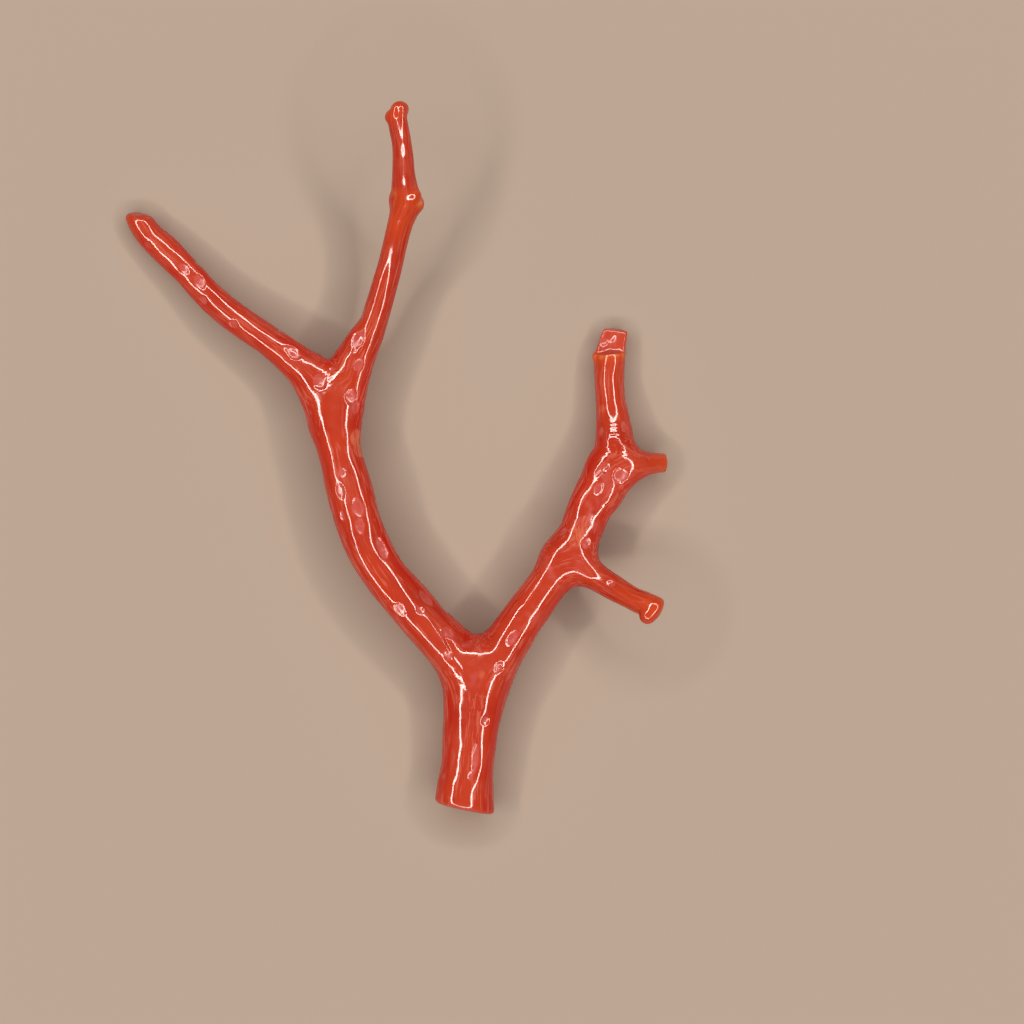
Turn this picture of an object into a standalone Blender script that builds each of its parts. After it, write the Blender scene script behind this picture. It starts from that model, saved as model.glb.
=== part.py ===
"""A polished branch of red coral, lying on its side and cut off flat across the trunk.

The coral lies in the XY plane: +X is to its right, +Y runs from the cut to the tips, and +Z is up.
It is worked out in millimetres, then placed in metres with the middle of its box over the origin and
its lowest point at Z = 0. It is split at its forks into eight pieces, with a saw's width between them.
"""

import math
import random

import bmesh
import bpy
import numpy as np
from mathutils import Matrix, Vector

MM = 0.001

# ---------------------------------------------------------------- sizes, in millimetres

# Each limb is a row of stations along its middle: x, y, z, half its width, how many degrees its crown
# leans to the right of straight up, and how much flatter than round it is.
LIMBS = {
    "main": [
        (5.9, -31.0, 2.3, 2.65, -6, 0.14), (6.0, -28.8, 2.43, 2.52, -6, 0.14),
        (6.2, -26.3, 2.8, 2.3, 5, 0.18), (6.4, -23.8, 2.9, 2.4, 3, 0.16),
        (6.65, -21.4, 3.2, 2.5, 2, 0.23), (6.5, -19.3, 3.26, 2.5, 0, 0.18),
        (5.6, -17.2, 3.37, 2.3, -7, 0.05), (4.2, -15.5, 3.6, 2.05, -11, -0.05),
        (2.8, -14.0, 3.8, 1.95, -11, -0.05), (1.0, -11.9, 4.0, 1.95, -13, -0.03),
        (-0.8, -9.8, 4.48, 1.9, -6, 0.2), (-2.3, -7.4, 4.33, 2.0, -7, 0.14),
        (-3.4, -4.7, 4.25, 2.0, 4, 0.1), (-4.1, -2.0, 4.26, 2.05, 2, 0.15),
        (-4.8, 0.7, 4.19, 1.9, -1, 0.13), (-5.25, 3.1, 3.95, 2.1, -3, 0.21),
        (-5.9, 5.2, 3.67, 2.15, -7, 0.22), (-7.5, 7.7, 3.42, 1.8, 0, 0.15),
        (-9.5, 9.5, 3.3, 1.5, 0, 0.13), (-11.8, 11.2, 2.85, 1.35, -3, 0.0),
        (-14.1, 12.8, 2.6, 1.3, 2, 0.08), (-16.4, 14.7, 2.25, 1.3, 5, 0.13),
        (-18.3, 16.8, 1.96, 1.25, 3, 0.17), (-20.3, 18.8, 1.48, 1.3, 0, 0.1),
        (-21.6, 20.0, 1.21, 1.2, 0, 0.05), (-22.4, 21.05, 1.2, 1.15, 0, 0.05),
        (-22.85, 21.7, 1.15, 0.97, 0, 0.0),
    ],
    "right": [
        (7.3, -20.2, 2.2, 1.9, 0, 0.1), (8.1, -18.4, 3.05, 2.12, 0, 0.1),
        (9.1, -16.4, 3.4, 2.05, 4, -0.08), (10.7, -14.0, 3.6, 1.88, -1, 0.1),
        (12.2, -11.9, 3.65, 1.8, -5, 0.04), (14.5, -8.4, 3.55, 1.79, -4, 0.08),
        (15.75, -6.2, 3.45, 1.95, -3, 0.08), (16.9, -3.8, 3.3, 1.95, -2, 0.24),
        (17.9, -2.2, 3.05, 2.15, 3, 0.18), (18.7, -0.3, 2.95, 2.05, -2, 0.3),
        (19.1, 1.0, 2.84, 1.75, -4, 0.15), (19.06, 1.8, 2.71, 1.7, -2, 0.08),
        (19.03, 2.5, 2.41, 1.63, 0, 0.02), (18.97, 3.3, 2.2, 1.55, 1, 0.0),
        (18.87, 4.4, 1.99, 1.43, 2, 0.0), (18.7, 5.9, 1.79, 1.3, -1, 0.0),
        (18.65, 7.6, 1.45, 1.33, -5, -0.05), (18.65, 9.0, 1.42, 1.36, 4, 0.0),
        (18.9, 10.5, 1.35, 1.2, 0, 0.0), (19.25, 11.9, 1.3, 1.05, 0, 0.0),
    ],
    "upper": [
        (-5.3, 3.6, 3.9, 1.9, 0, 0.15), (-4.7, 5.5, 3.85, 2.0, 4, 0.2),
        (-4.2, 7.2, 3.85, 1.85, 6, 0.22), (-3.6, 8.9, 3.95, 1.7, 7, 0.17),
        (-2.75, 10.7, 4.1, 1.5, 2, 0.0), (-2.1, 12.0, 4.2, 1.28, 0, 0.0),
        (-1.3, 14.3, 4.5, 1.18, -3, 0.0), (-0.6, 16.6, 4.97, 1.08, -9, 0.0),
        (0.0, 19.0, 6.0, 1.03, -12, 0.0), (0.5, 20.75, 6.83, 1.09, -8, 0.0),
        (1.02, 22.35, 7.46, 1.28, 0, 0.0), (0.92, 23.55, 8.22, 1.15, 0, 0.0),
        (0.83, 24.65, 8.93, 1.0, 0, 0.0), (0.8, 26.3, 9.85, 0.92, 2, 0.0),
        (0.68, 27.3, 10.32, 0.86, 8, 0.0), (0.53, 28.15, 10.73, 0.83, 12, 0.0),
        (0.42, 28.8, 10.98, 0.81, 14, 0.05), (0.38, 29.35, 11.08, 0.78, 12, 0.08),
        (0.42, 29.95, 11.1, 0.65, 0, 0.0),
    ],
    "lower_side": [
        (14.3, -8.0, 3.6, 1.2, 0, 0.0), (15.8, -8.7, 3.8, 1.3, 0, 0.0),
        (17.3, -9.8, 4.2, 1.2, 0, -0.1), (18.8, -10.7, 5.1, 1.12, 0, 0.0),
        (20.4, -11.6, 6.28, 1.02, 0, 0.0), (21.3, -12.0, 6.8, 1.05, 0, 0.0),
        (22.3, -12.45, 7.25, 1.05, 0, 0.0),
    ],
    "stub": [
        (18.3, -0.2, 2.5, 1.05, 0, 0.0), (19.7, -0.35, 2.72, 1.33, 0, 0.0),
        (20.8, -0.2, 2.8, 1.22, 0, 0.0), (21.9, 0.0, 2.35, 1.03, 0, 0.0),
        (22.8, 0.1, 1.75, 0.92, 0, 0.0), (23.9, 0.1, 1.2, 0.86, 0, 0.0),
    ],
}
STATION_STEP = 0.3            # spacing of the smooth line drawn through the stations

# How wide the web is where each side limb runs into the limbs before it.
WEBS = {"right": 1.7, "upper": 1.25, "lower_side": 1.9, "stub": 1.5}

# Knobs that swell out of a limb: x, y, z, radius and the width of the web round them.
KNOBS = [
    (2.0, 22.25, 7.35, 0.5, 0.75),      # right corner of the upper twig's knot
    (0.4, 22.7, 7.2, 0.75, 0.7),        # left shoulder of the same knot
    (1.56, 22.85, 8.22, 0.82, 0.15),    # small bud on the front of the knot
    (-0.13, 29.37, 10.9, 0.6, 0.3),     # left lobe of the upper tip
    (0.7, 30.0, 11.05, 0.62, 0.3),      # right lobe of the upper tip
    (17.6, 9.4, 1.6, 0.55, 0.25),      # lip at the edge of the right tip's broken face
    (21.75, -13.1, 7.7, 0.75, 0.4),     # lobe beside the lower side twig's end
]

# Flat and broken ends: a point on the end, the way it faces, how rounded its edge is, and its reach.
SAW_CUT = ((6.05, -30.14, 2.6), (-0.213, -0.977, 0.0), 0.45, 6.0)
STUB_END = ((23.6, 0.1, 1.4), (0.97, 0.0, -0.24), 0.35, 2.5)
TIP_END = ((19.3, 11.75, 1.4), (0.1, 0.98, 0.2), 0.3, 3.0)
TWIG_END = ((22.95, -12.8, 7.3), (0.9, -0.42, 0.1), 0.4, 2.2)
LEFT_END = ((-22.9, 22.08, 0.9), (0.03, 0.95, 0.3), 0.4, 2.5)
# The right tip is broken off in a step: a wall that faces the tip, over a rough face that looks up.
BREAK_WALL = ((18.5, 9.62, 2.4), (-0.08, 1.0, 0.02))
BREAK_FACE = ((18.8, 10.0, 1.9), (-0.12, 0.16, 0.98))
BREAK_EDGE = 0.12             # how rounded the step's edges are
BREAK_REACH = 3.4
SAW_TRIM = 0.04               # taken off the end of the trunk, so that its face is truly flat

# Shallow pits on the upper side: x, y, length along the limb and width across it.
UPPER_PITS = [
    (-17.2, 16.2, 1.4, 1.0), (-18.5, 17.3, 1.0, 0.8), (-14.1, 12.4, 0.9, 0.8), (-9.1, 9.9, 1.6, 1.1),
    (-6.5, 7.1, 1.5, 1.5), (-3.2, 10.9, 1.9, 1.4), (-3.3, 8.6, 1.2, 1.1), (-3.9, 5.8, 1.4, 1.2),
    (-3.5, 4.8, 1.4, 1.0), (-4.6, 0.8, 0.9, 0.8), (-4.7, -2.4, 1.4, 0.8), (-4.7, -4.6, 1.1, 0.6),
    (-3.2, -3.7, 1.9, 1.2), (-3.1, -5.5, 1.6, 1.0), (-1.2, -7.1, 2.6, 1.0), (0.4, -12.7, 1.6, 1.0),
    (2.2, -12.7, 1.3, 0.6), (4.6, -14.7, 1.2, 1.0), (10.3, -15.5, 1.9, 1.2), (8.9, -17.8, 1.0, 0.7),
    (7.8, -22.4, 0.9, 0.7), (6.9, -25.8, 3.0, 0.7), (16.5, -6.9, 1.2, 0.9), (17.6, -2.2, 1.4, 1.1),
    (19.6, -1.0, 1.7, 1.2), (17.8, 2.9, 1.0, 0.8), (19.8, 3.5, 1.2, 0.7), (18.6, 9.7, 0.9, 0.7),
]
UNDER_PITS = 40               # more pits like them, strewn over the sides and the underside
PIT_DEPTH = 0.17              # depth of a pit for each millimetre of its half width
PIT_SEED = 11

SWELL_DEPTH = 0.05            # slow unevenness of the polished skin
SWELL_LENGTH = 4.5

SAW_WIDTH = 0.3               # gap between the pieces where the coral is split
# Where it is split: a point on the limb's middle, the way the limb runs there and the cutter's width.
SPLITS = [
    ((3.6, -14.9, 3.65), (-0.66, 0.75, 0.08), 6.2),       # trunk and left branch
    ((9.9, -15.2, 3.5), (0.55, 0.83, 0.06), 6.0),       # trunk and right branch
    ((-8.5, 8.7, 3.45), (-0.74, 0.66, -0.1), 5.2),       # left branch and left twig
    ((-3.4, 9.35, 4.0), (0.44, 0.89, 0.08), 5.0),        # left branch and upper twig
    ((18.95, 3.5, 2.15), (-0.07, 0.98, -0.22), 5.0),      # right branch and right tip
    ((17.5, -9.9, 4.35), (0.72, -0.45, 0.38), 4.4),      # right branch and lower side twig
    ((21.2, -0.12, 2.6), (0.92, 0.13, -0.33), 4.2),       # right branch and side stub
]
# A point inside each piece, by which it is named, and its colour.
PIECES = {
    "trunk": (6.4, -23.8, 2.85),
    "left_branch": (-4.1, -2.0, 4.2),
    "left_twig": (-14.1, 12.8, 2.5),
    "upper_twig": (-0.6, 16.6, 4.9),
    "right_branch": (15.75, -6.2, 3.4),
    "right_tip": (18.7, 5.9, 1.85),
    "lower_side_twig": (20.4, -11.6, 6.2),
    "side_stub": (22.4, 0.05, 1.95),
}
CORAL_RED = (0.61, 0.038, 0.017, 1.0)
TIP_ORANGE = (0.68, 0.085, 0.012, 1.0)
ORANGE_PIECES = {"right_tip", "lower_side_twig", "side_stub"}
POLISH_ROUGHNESS = 0.2

VOXEL = 0.3
TRIANGLES = 9400
SHARP_ANGLE = 40
SETTLE_PASSES = 10
RELAX_PASSES = 6


# ---------------------------------------------------------------- the form, as distances

def unit(vector):
    """The vector as a numpy array of length 1."""
    array = np.array(vector, dtype=float)
    return array / np.linalg.norm(array)


def smooth_line(stations):
    """A smooth line through the stations, as rows like them."""
    points = np.array(stations, dtype=float)
    before = 2 * points[0] - points[1]
    after = 2 * points[-1] - points[-2]
    points = np.vstack([before, points, after])
    rows = []
    for i in range(1, len(points) - 2):
        a, b, c, d = points[i - 1:i + 3]
        start_slope = (c - a) / 2
        end_slope = (d - b) / 2
        steps = max(2, math.ceil(np.linalg.norm((c - b)[:3]) / STATION_STEP))
        for t in np.arange(steps) / steps:
            rows.append((2 * t**3 - 3 * t**2 + 1) * b + (t**3 - 2 * t**2 + t) * start_slope
                        + (3 * t**2 - 2 * t**3) * c + (t**3 - t**2) * end_slope)
    rows.append(points[-2])
    return np.array(rows)


LINES = {name: smooth_line(stations) for name, stations in LIMBS.items()}


def limb_distance(line, points):
    """Distance from each point to a limb's skin, the way out, and the offset from its middle."""
    start = line[:-1]
    run = line[1:] - start
    length_squared = (run[:, :3]**2).sum(axis=1)
    distance = np.empty(len(points))
    offset = np.empty((len(points), 3))
    for first in range(0, len(points), 4000):
        some = points[first:first + 4000]
        reach = some[:, None, :] - start[None, :, :3]
        share = np.clip((reach * run[None, :, :3]).sum(axis=2) / length_squared, 0, 1)
        away = reach - share[:, :, None] * run[None, :, :3]
        gap = np.linalg.norm(away, axis=2) - (start[:, 3] + share * run[:, 3])
        nearest = gap.argmin(axis=1)
        row = np.arange(len(some))
        share = share[row, nearest]
        away = away[row, nearest]
        half_width, lean, flatness = (start[nearest, 3:] + share[:, None] * run[nearest, 3:]).T
        distance[first:first + 4000] = np.linalg.norm(away, axis=1) - half_width * section(
            away, run[nearest, :3], np.radians(lean), flatness)
        offset[first:first + 4000] = away
    outward = offset / np.maximum(np.linalg.norm(offset, axis=1), 1e-9)[:, None]
    return distance, outward, offset


def section(away, heading, lean, flatness):
    """How far the skin is from a limb's middle on the way away from it, in half widths."""
    right = np.stack([heading[:, 1], -heading[:, 0], np.zeros(len(heading))], axis=1)
    right /= np.linalg.norm(right, axis=1)[:, None]
    upward = np.cross(right, heading / np.linalg.norm(heading, axis=1)[:, None])
    side = (away * right).sum(axis=1)
    height = (away * upward).sum(axis=1)
    square = np.maximum((away**2).sum(axis=1), 1e-9)
    return 1 + (lean * side * height - flatness * height**2) / square


def blend(first, second, width):
    """The union of two sets of distances, with a web of the given width between them."""
    share = np.clip(0.5 + 0.5 * (second[0] - first[0]) / width, 0, 1)
    web = width * share * (1 - share)
    merged = [second[0] * (1 - share) + first[0] * share - web]
    for one, other in zip(first[1:], second[1:]):
        merged.append(other * (1 - share)[:, None] + one * share[:, None])
    return merged


def cut_end(form, points, end):
    """Cuts a limb off at a plane, with a rounded edge."""
    place, facing, edge, reach = end
    facing = unit(facing)
    near = np.nonzero(np.linalg.norm(points - place, axis=1) < reach)[0]
    depth = (points[near] - place) @ facing
    share = np.clip(0.5 - 0.5 * (depth - form[0][near]) / edge, 0, 1)
    form[0][near] = depth * (1 - share) + form[0][near] * share + edge * share * (1 - share)
    form[1][near] = facing * (1 - share)[:, None] + form[1][near] * share[:, None]


def break_off(form, points):
    """Breaks the right tip off in a step, down to its rough face."""
    near = np.nonzero(np.linalg.norm(points - BREAK_FACE[0], axis=1) < BREAK_REACH)[0]
    wall, face = [(points[near] - place) @ unit(facing) for place, facing in (BREAK_WALL, BREAK_FACE)]
    on_wall = np.clip(0.5 + 0.5 * (face - wall) / BREAK_EDGE, 0, 1)
    depth = face * (1 - on_wall) + wall * on_wall - BREAK_EDGE * on_wall * (1 - on_wall)
    facing = (1 - on_wall)[:, None] * unit(BREAK_FACE[1]) + on_wall[:, None] * unit(BREAK_WALL[1])
    share = np.clip(0.5 - 0.5 * (depth - form[0][near]) / BREAK_EDGE, 0, 1)
    form[0][near] = depth * (1 - share) + form[0][near] * share + BREAK_EDGE * share * (1 - share)
    form[1][near] = facing * (1 - share)[:, None] + form[1][near] * share[:, None]


def coral_form(points):
    """Distance from each point to the coral's skin, the way out, and the offset from the middle."""
    form = [np.array(values) for values in limb_distance(LINES["main"], points)]
    for name, width in WEBS.items():
        line = LINES[name]
        near = within(points, line[:, :3].min(axis=0) - 4, line[:, :3].max(axis=0) + 4)
        merged = blend([values[near] for values in form], limb_distance(line, points[near]), width)
        for values, new in zip(form, merged):
            values[near] = new
    for x, y, z, radius, width in KNOBS:
        reach = radius + 2 * width + 1
        near = within(points, np.array((x, y, z)) - reach, np.array((x, y, z)) + reach)
        away = points[near] - (x, y, z)
        length = np.maximum(np.linalg.norm(away, axis=1), 1e-9)
        knob = [length - radius, away / length[:, None], form[2][near]]
        merged = blend([values[near] for values in form], knob, width)
        for values, new in zip(form, merged):
            values[near] = new
    for end in (SAW_CUT, STUB_END, TIP_END, TWIG_END, LEFT_END):
        cut_end(form, points, end)
    break_off(form, points)
    return form


def within(points, low, high):
    """Indices of the points inside a box."""
    return np.nonzero(((points > low) & (points < high)).all(axis=1))[0]


def place_pits(points, normals, offset):
    """The pits as rows of a point on the skin, the limb's direction there, length and width."""
    pits = []
    upper = np.nonzero(offset[:, 2] > 0)[0]
    for x, y, length, width in UPPER_PITS:
        flat = np.hypot(points[upper, 0] - x, points[upper, 1] - y)
        pits.append((upper[flat.argmin()], length, width))
    chance = random.Random(PIT_SEED)
    lower = np.nonzero(normals[:, 2] < 0.2)[0]
    for _ in range(UNDER_PITS):
        length = chance.uniform(0.8, 2.0)
        pits.append((lower[chance.randrange(len(lower))], length, length * chance.uniform(0.5, 0.9)))
    rows = []
    middle = np.vstack([line[:-1, :3] for line in LINES.values()])
    heading = np.vstack([np.diff(line[:, :3], axis=0) for line in LINES.values()])
    for index, length, width in pits:
        nearest = np.linalg.norm(middle - (points[index] - offset[index]), axis=1).argmin()
        rows.append((points[index], unit(heading[nearest]), length / 2, width / 2))
    return rows


def pit_depth(points, pits):
    """How far each point sinks into the pits."""
    depth = np.zeros(len(points))
    for centre, along, half_length, half_width in pits:
        near = within(points, centre - half_length, centre + half_length)
        away = points[near] - centre
        run = away @ along
        side = np.linalg.norm(away - run[:, None] * along, axis=1)
        spread = (run / half_length)**2 + (side / half_width)**2
        dish = PIT_DEPTH * half_width * np.clip(1 - spread**2, 0, None)
        depth[near] = np.maximum(depth[near], dish)
    return depth


def swell(points):
    """Slow unevenness of the skin, as sums of crossing waves."""
    total = np.zeros(len(points))
    for i, direction in enumerate(((1, 0.4, 0.3), (-0.5, 1, 0.6), (0.3, -0.7, 1), (0.8, 0.9, -0.6))):
        wave = points @ unit(direction) * 2 * math.pi / (SWELL_LENGTH * (1 + 0.23 * i))
        total += np.sin(wave + 1.7 * i)
    return SWELL_DEPTH * total / 4


# ---------------------------------------------------------------- meshes

def new_object(name, mesh, collection):
    """Links a new object that shows the mesh."""
    obj = bpy.data.objects.new(name, mesh)
    collection.objects.link(obj)
    return obj


def limb_tube(name, line, collection):
    """A tube along a limb's line, as a curve with a bevel."""
    curve = bpy.data.curves.new(name, "CURVE")
    curve.dimensions = "3D"
    curve.bevel_depth = 1.0
    curve.bevel_resolution = 6
    curve.use_fill_caps = True
    spline = curve.splines.new("POLY")
    spline.points.add(len(line) - 1)
    for point, (x, y, z, half_width) in zip(spline.points, line[:, :4]):
        point.co = (x, y, z, 1)
        point.radius = half_width
    return new_object(name, curve, collection)


def evaluated_mesh(obj):
    """A new mesh of the object with its modifiers applied."""
    depsgraph = bpy.context.evaluated_depsgraph_get()
    return bpy.data.meshes.new_from_object(obj.evaluated_get(depsgraph))


def add_ball(bm, place, radius):
    """Adds a ball to the mesh, such as a limb's round end."""
    made = bmesh.ops.create_uvsphere(bm, u_segments=24, v_segments=12, radius=radius)
    bmesh.ops.translate(bm, verts=made["verts"], vec=place)


def fused_limbs(collection):
    """All limbs and knobs in one closed skin of even squares."""
    bm = bmesh.new()
    for name, line in LINES.items():
        tube = limb_tube(name + "_tube", line, collection)
        bm.from_mesh(evaluated_mesh(tube))
        bpy.data.objects.remove(tube)
        for x, y, z, half_width in line[[0, -1], :4]:
            add_ball(bm, (x, y, z), half_width)
    for x, y, z, radius, _ in KNOBS:
        add_ball(bm, (x, y, z), radius)
    mesh = bpy.data.meshes.new("coral_limbs")
    bm.to_mesh(mesh)
    bm.free()
    limbs = new_object("coral_limbs", mesh, collection)
    remesh = limbs.modifiers.new("one skin", "REMESH")
    remesh.mode = "VOXEL"
    remesh.voxel_size = VOXEL
    skin = evaluated_mesh(limbs)
    bpy.data.objects.remove(limbs)
    return skin


def neighbour_mean(values, edges, counts):
    """Mean of each vertex's neighbours."""
    total = np.zeros_like(values)
    np.add.at(total, edges[:, 0], values[edges[:, 1]])
    np.add.at(total, edges[:, 1], values[edges[:, 0]])
    return total / counts


def settle_skin(mesh):
    """Moves the vertices onto the coral's form, then sinks the pits and swells into it."""
    points = np.empty(len(mesh.vertices) * 3)
    mesh.vertices.foreach_get("co", points)
    points = points.reshape(-1, 3)
    edges = np.empty(len(mesh.edges) * 2, dtype=int)
    mesh.edges.foreach_get("vertices", edges)
    edges = edges.reshape(-1, 2)
    counts = np.bincount(edges.ravel(), minlength=len(points))[:, None]
    for step in range(SETTLE_PASSES):
        if step < RELAX_PASSES:
            points += 0.6 * (neighbour_mean(points, edges, counts) - points)
        distance, outward, offset = coral_form(points)
        steepness = np.maximum((outward**2).sum(axis=1), 0.1)
        points -= outward * np.clip(distance / steepness, -0.6, 0.6)[:, None]
    distance, outward, offset = coral_form(points)
    normals = outward / np.linalg.norm(outward, axis=1)[:, None]
    pits = place_pits(points, normals, offset)
    sink = pit_depth(points, pits) - swell(points)
    points -= normals * sink[:, None]
    mesh.vertices.foreach_set("co", points.ravel())
    mesh.update()


def oriented_box(name, place, facing, size, collection):
    """A box with its local Z turned to face a direction."""
    bm = bmesh.new()
    bmesh.ops.create_cube(bm, size=1.0)
    bmesh.ops.scale(bm, verts=bm.verts, vec=size)
    mesh = bpy.data.meshes.new(name)
    bm.to_mesh(mesh)
    bm.free()
    box = new_object(name, mesh, collection)
    turn = Vector(facing).to_track_quat("Z", "Y").to_matrix().to_4x4()
    box.matrix_world = Matrix.Translation(place) @ turn
    box.hide_render = True
    box.display_type = "WIRE"
    return box


def trunk_cutter(collection):
    """The block that takes off the end of the trunk."""
    place, facing, _, reach = SAW_CUT
    middle = np.array(place) + unit(facing) * (reach / 2 - SAW_TRIM)
    return oriented_box("saw_cut", middle, facing, (3 * reach, 3 * reach, reach), collection)


def split_cutters(collection):
    """The thin slabs where the coral is split."""
    cutters = []
    for number, (place, facing, width) in enumerate(SPLITS):
        size = (width, width, SAW_WIDTH)
        cutters.append(oriented_box(f"split_{number}", place, facing, size, collection))
    return cutters


def add_cut(obj, cutter):
    """Takes the cutter's shape out of the object."""
    cut = obj.modifiers.new(cutter.name, "BOOLEAN")
    cut.operation = "DIFFERENCE"
    cut.solver = "EXACT"
    cut.object = cutter


def split_skin(mesh, cutters, collection):
    """The skin, split at the forks."""
    coral = new_object("coral_skin", mesh, collection)
    coral.modifiers.new("triangles", "TRIANGULATE")
    for cutter in cutters:
        add_cut(coral, cutter)
    pieces = evaluated_mesh(coral)
    bpy.data.objects.remove(coral)
    return pieces


def coral_material(name):
    """Glossy red, with the paler orange of young growth on the short outer pieces."""
    material = bpy.data.materials.new(name + " coral")
    material.use_nodes = True
    shader = material.node_tree.nodes["Principled BSDF"]
    colour = TIP_ORANGE if name in ORANGE_PIECES else CORAL_RED
    shader.inputs["Base Color"].default_value = colour
    shader.inputs["Roughness"].default_value = POLISH_ROUGHNESS
    shader.inputs["Metallic"].default_value = 0.0
    material.diffuse_color = colour
    return material


def separate_pieces(mesh):
    """The mesh's loose parts, each as a bmesh."""
    whole = bmesh.new()
    whole.from_mesh(mesh)
    bmesh.ops.triangulate(whole, faces=whole.faces)
    unseen = set(whole.verts)
    groups = []
    while unseen:
        group = set()
        front = [unseen.pop()]
        while front:
            vertex = front.pop()
            group.add(vertex.index)
            for edge in vertex.link_edges:
                other = edge.other_vert(vertex)
                if other in unseen:
                    unseen.remove(other)
                    front.append(other)
        groups.append(group)
    pieces = []
    for group in groups:
        piece = whole.copy()
        piece.verts.ensure_lookup_table()
        others = [vertex for vertex in piece.verts if vertex.index not in group]
        bmesh.ops.delete(piece, geom=others, context="VERTS")
        pieces.append(piece)
    whole.free()
    return pieces


def nearest_vertex(piece, place):
    """Distance from a point to the piece's nearest vertex."""
    return min((vertex.co - Vector(place)).length for vertex in piece.verts)


def named_pieces(pieces):
    """The pieces by name, each found by the point inside it."""
    named = {}
    for name, place in PIECES.items():
        piece = min(pieces, key=lambda one: nearest_vertex(one, place))
        pieces.remove(piece)
        named[name] = piece
    return named


def finished_mesh(name, piece, share, cutter, collection):
    """A piece's mesh with that share of its triangles, and the trunk cut off at its foot."""
    mesh = bpy.data.meshes.new(name + "_full")
    piece.to_mesh(mesh)
    piece.free()
    full = new_object(name + "_full", mesh, collection)
    thin = full.modifiers.new("fewer triangles", "DECIMATE")
    thin.ratio = share
    if name == "trunk":
        add_cut(full, cutter)
    finished = evaluated_mesh(full)
    bpy.data.objects.remove(full)
    return finished


def place_pieces(meshes, collection):
    """Places the pieces in metres, over the origin and standing on Z = 0."""
    corners = np.array([vertex.co for mesh in meshes.values() for vertex in mesh.vertices])
    low = corners.min(axis=0)
    high = corners.max(axis=0)
    origin = Vector(((low[0] + high[0]) / 2, (low[1] + high[1]) / 2, low[2]))
    for name, mesh in meshes.items():
        mesh.name = name
        mesh.transform(Matrix.Scale(MM, 4) @ Matrix.Translation(-origin))
        mesh.shade_smooth()
        mesh.set_sharp_from_angle(angle=math.radians(SHARP_ANGLE))
        mesh.materials.clear()
        mesh.materials.append(coral_material(name))
        new_object(name, mesh, collection)


def main():
    for obj in list(bpy.data.objects):
        bpy.data.objects.remove(obj)
    scene = bpy.context.scene
    coral = bpy.data.collections.new("red coral")
    cutting = bpy.data.collections.new("cutters")
    scene.collection.children.link(coral)
    scene.collection.children.link(cutting)
    skin = fused_limbs(coral)
    settle_skin(skin)
    saw = trunk_cutter(cutting)
    slabs = split_cutters(cutting)
    bpy.context.view_layer.update()
    pieces = separate_pieces(split_skin(skin, slabs, coral))
    if len(pieces) != len(PIECES):
        raise RuntimeError(f"the coral came apart in {len(pieces)} pieces, not {len(PIECES)}")
    share = TRIANGLES / sum(len(piece.faces) for piece in pieces)
    meshes = {}
    for name, piece in named_pieces(pieces).items():
        meshes[name] = finished_mesh(name, piece, share, saw, coral)
    place_pieces(meshes, coral)


main()
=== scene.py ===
"""Polished branch of red coral: a pitted and grained skin over its solids, and a stage for it.

Sizes are worked out in millimetres in the coral's own frame, then placed in metres over the solids.
"""

import math
import random

import bmesh
import bpy
import numpy as np
from bpy.props import FloatProperty, FloatVectorProperty, IntProperty, PointerProperty
from bpy.types import Operator, Panel, PropertyGroup
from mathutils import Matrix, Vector, noise


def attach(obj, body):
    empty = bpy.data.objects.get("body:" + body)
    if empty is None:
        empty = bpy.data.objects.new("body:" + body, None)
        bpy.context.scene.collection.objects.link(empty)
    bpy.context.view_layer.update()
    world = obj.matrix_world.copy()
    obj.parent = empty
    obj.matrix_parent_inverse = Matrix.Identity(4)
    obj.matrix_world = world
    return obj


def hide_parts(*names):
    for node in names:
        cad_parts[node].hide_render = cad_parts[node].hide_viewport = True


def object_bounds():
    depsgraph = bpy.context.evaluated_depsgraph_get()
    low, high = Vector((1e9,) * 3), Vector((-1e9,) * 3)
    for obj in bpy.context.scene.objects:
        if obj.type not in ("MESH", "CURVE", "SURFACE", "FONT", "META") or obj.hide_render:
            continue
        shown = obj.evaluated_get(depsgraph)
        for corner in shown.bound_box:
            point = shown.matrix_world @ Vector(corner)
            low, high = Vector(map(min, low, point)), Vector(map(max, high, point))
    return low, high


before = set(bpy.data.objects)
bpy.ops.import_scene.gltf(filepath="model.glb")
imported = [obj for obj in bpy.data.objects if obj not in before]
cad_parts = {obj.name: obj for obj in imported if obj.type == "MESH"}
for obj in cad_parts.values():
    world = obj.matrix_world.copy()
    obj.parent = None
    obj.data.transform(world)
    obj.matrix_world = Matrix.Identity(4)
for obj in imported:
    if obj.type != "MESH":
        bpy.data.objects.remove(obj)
SOLID_BOX = [np.array(corner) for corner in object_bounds()]

bl_info = {
    "name": "Red Coral Branch",
    "version": (1, 0, 0),
    "blender": (4, 5, 0),
    "location": "View3D > Sidebar > Coral",
    "description": "Builds a polished branch of red coral with its pits, grain and stage",
    "category": "Add Mesh",
}

MM = 0.001

# ---------------------------------------------------------------- the coral's form, in millimetres

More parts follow.
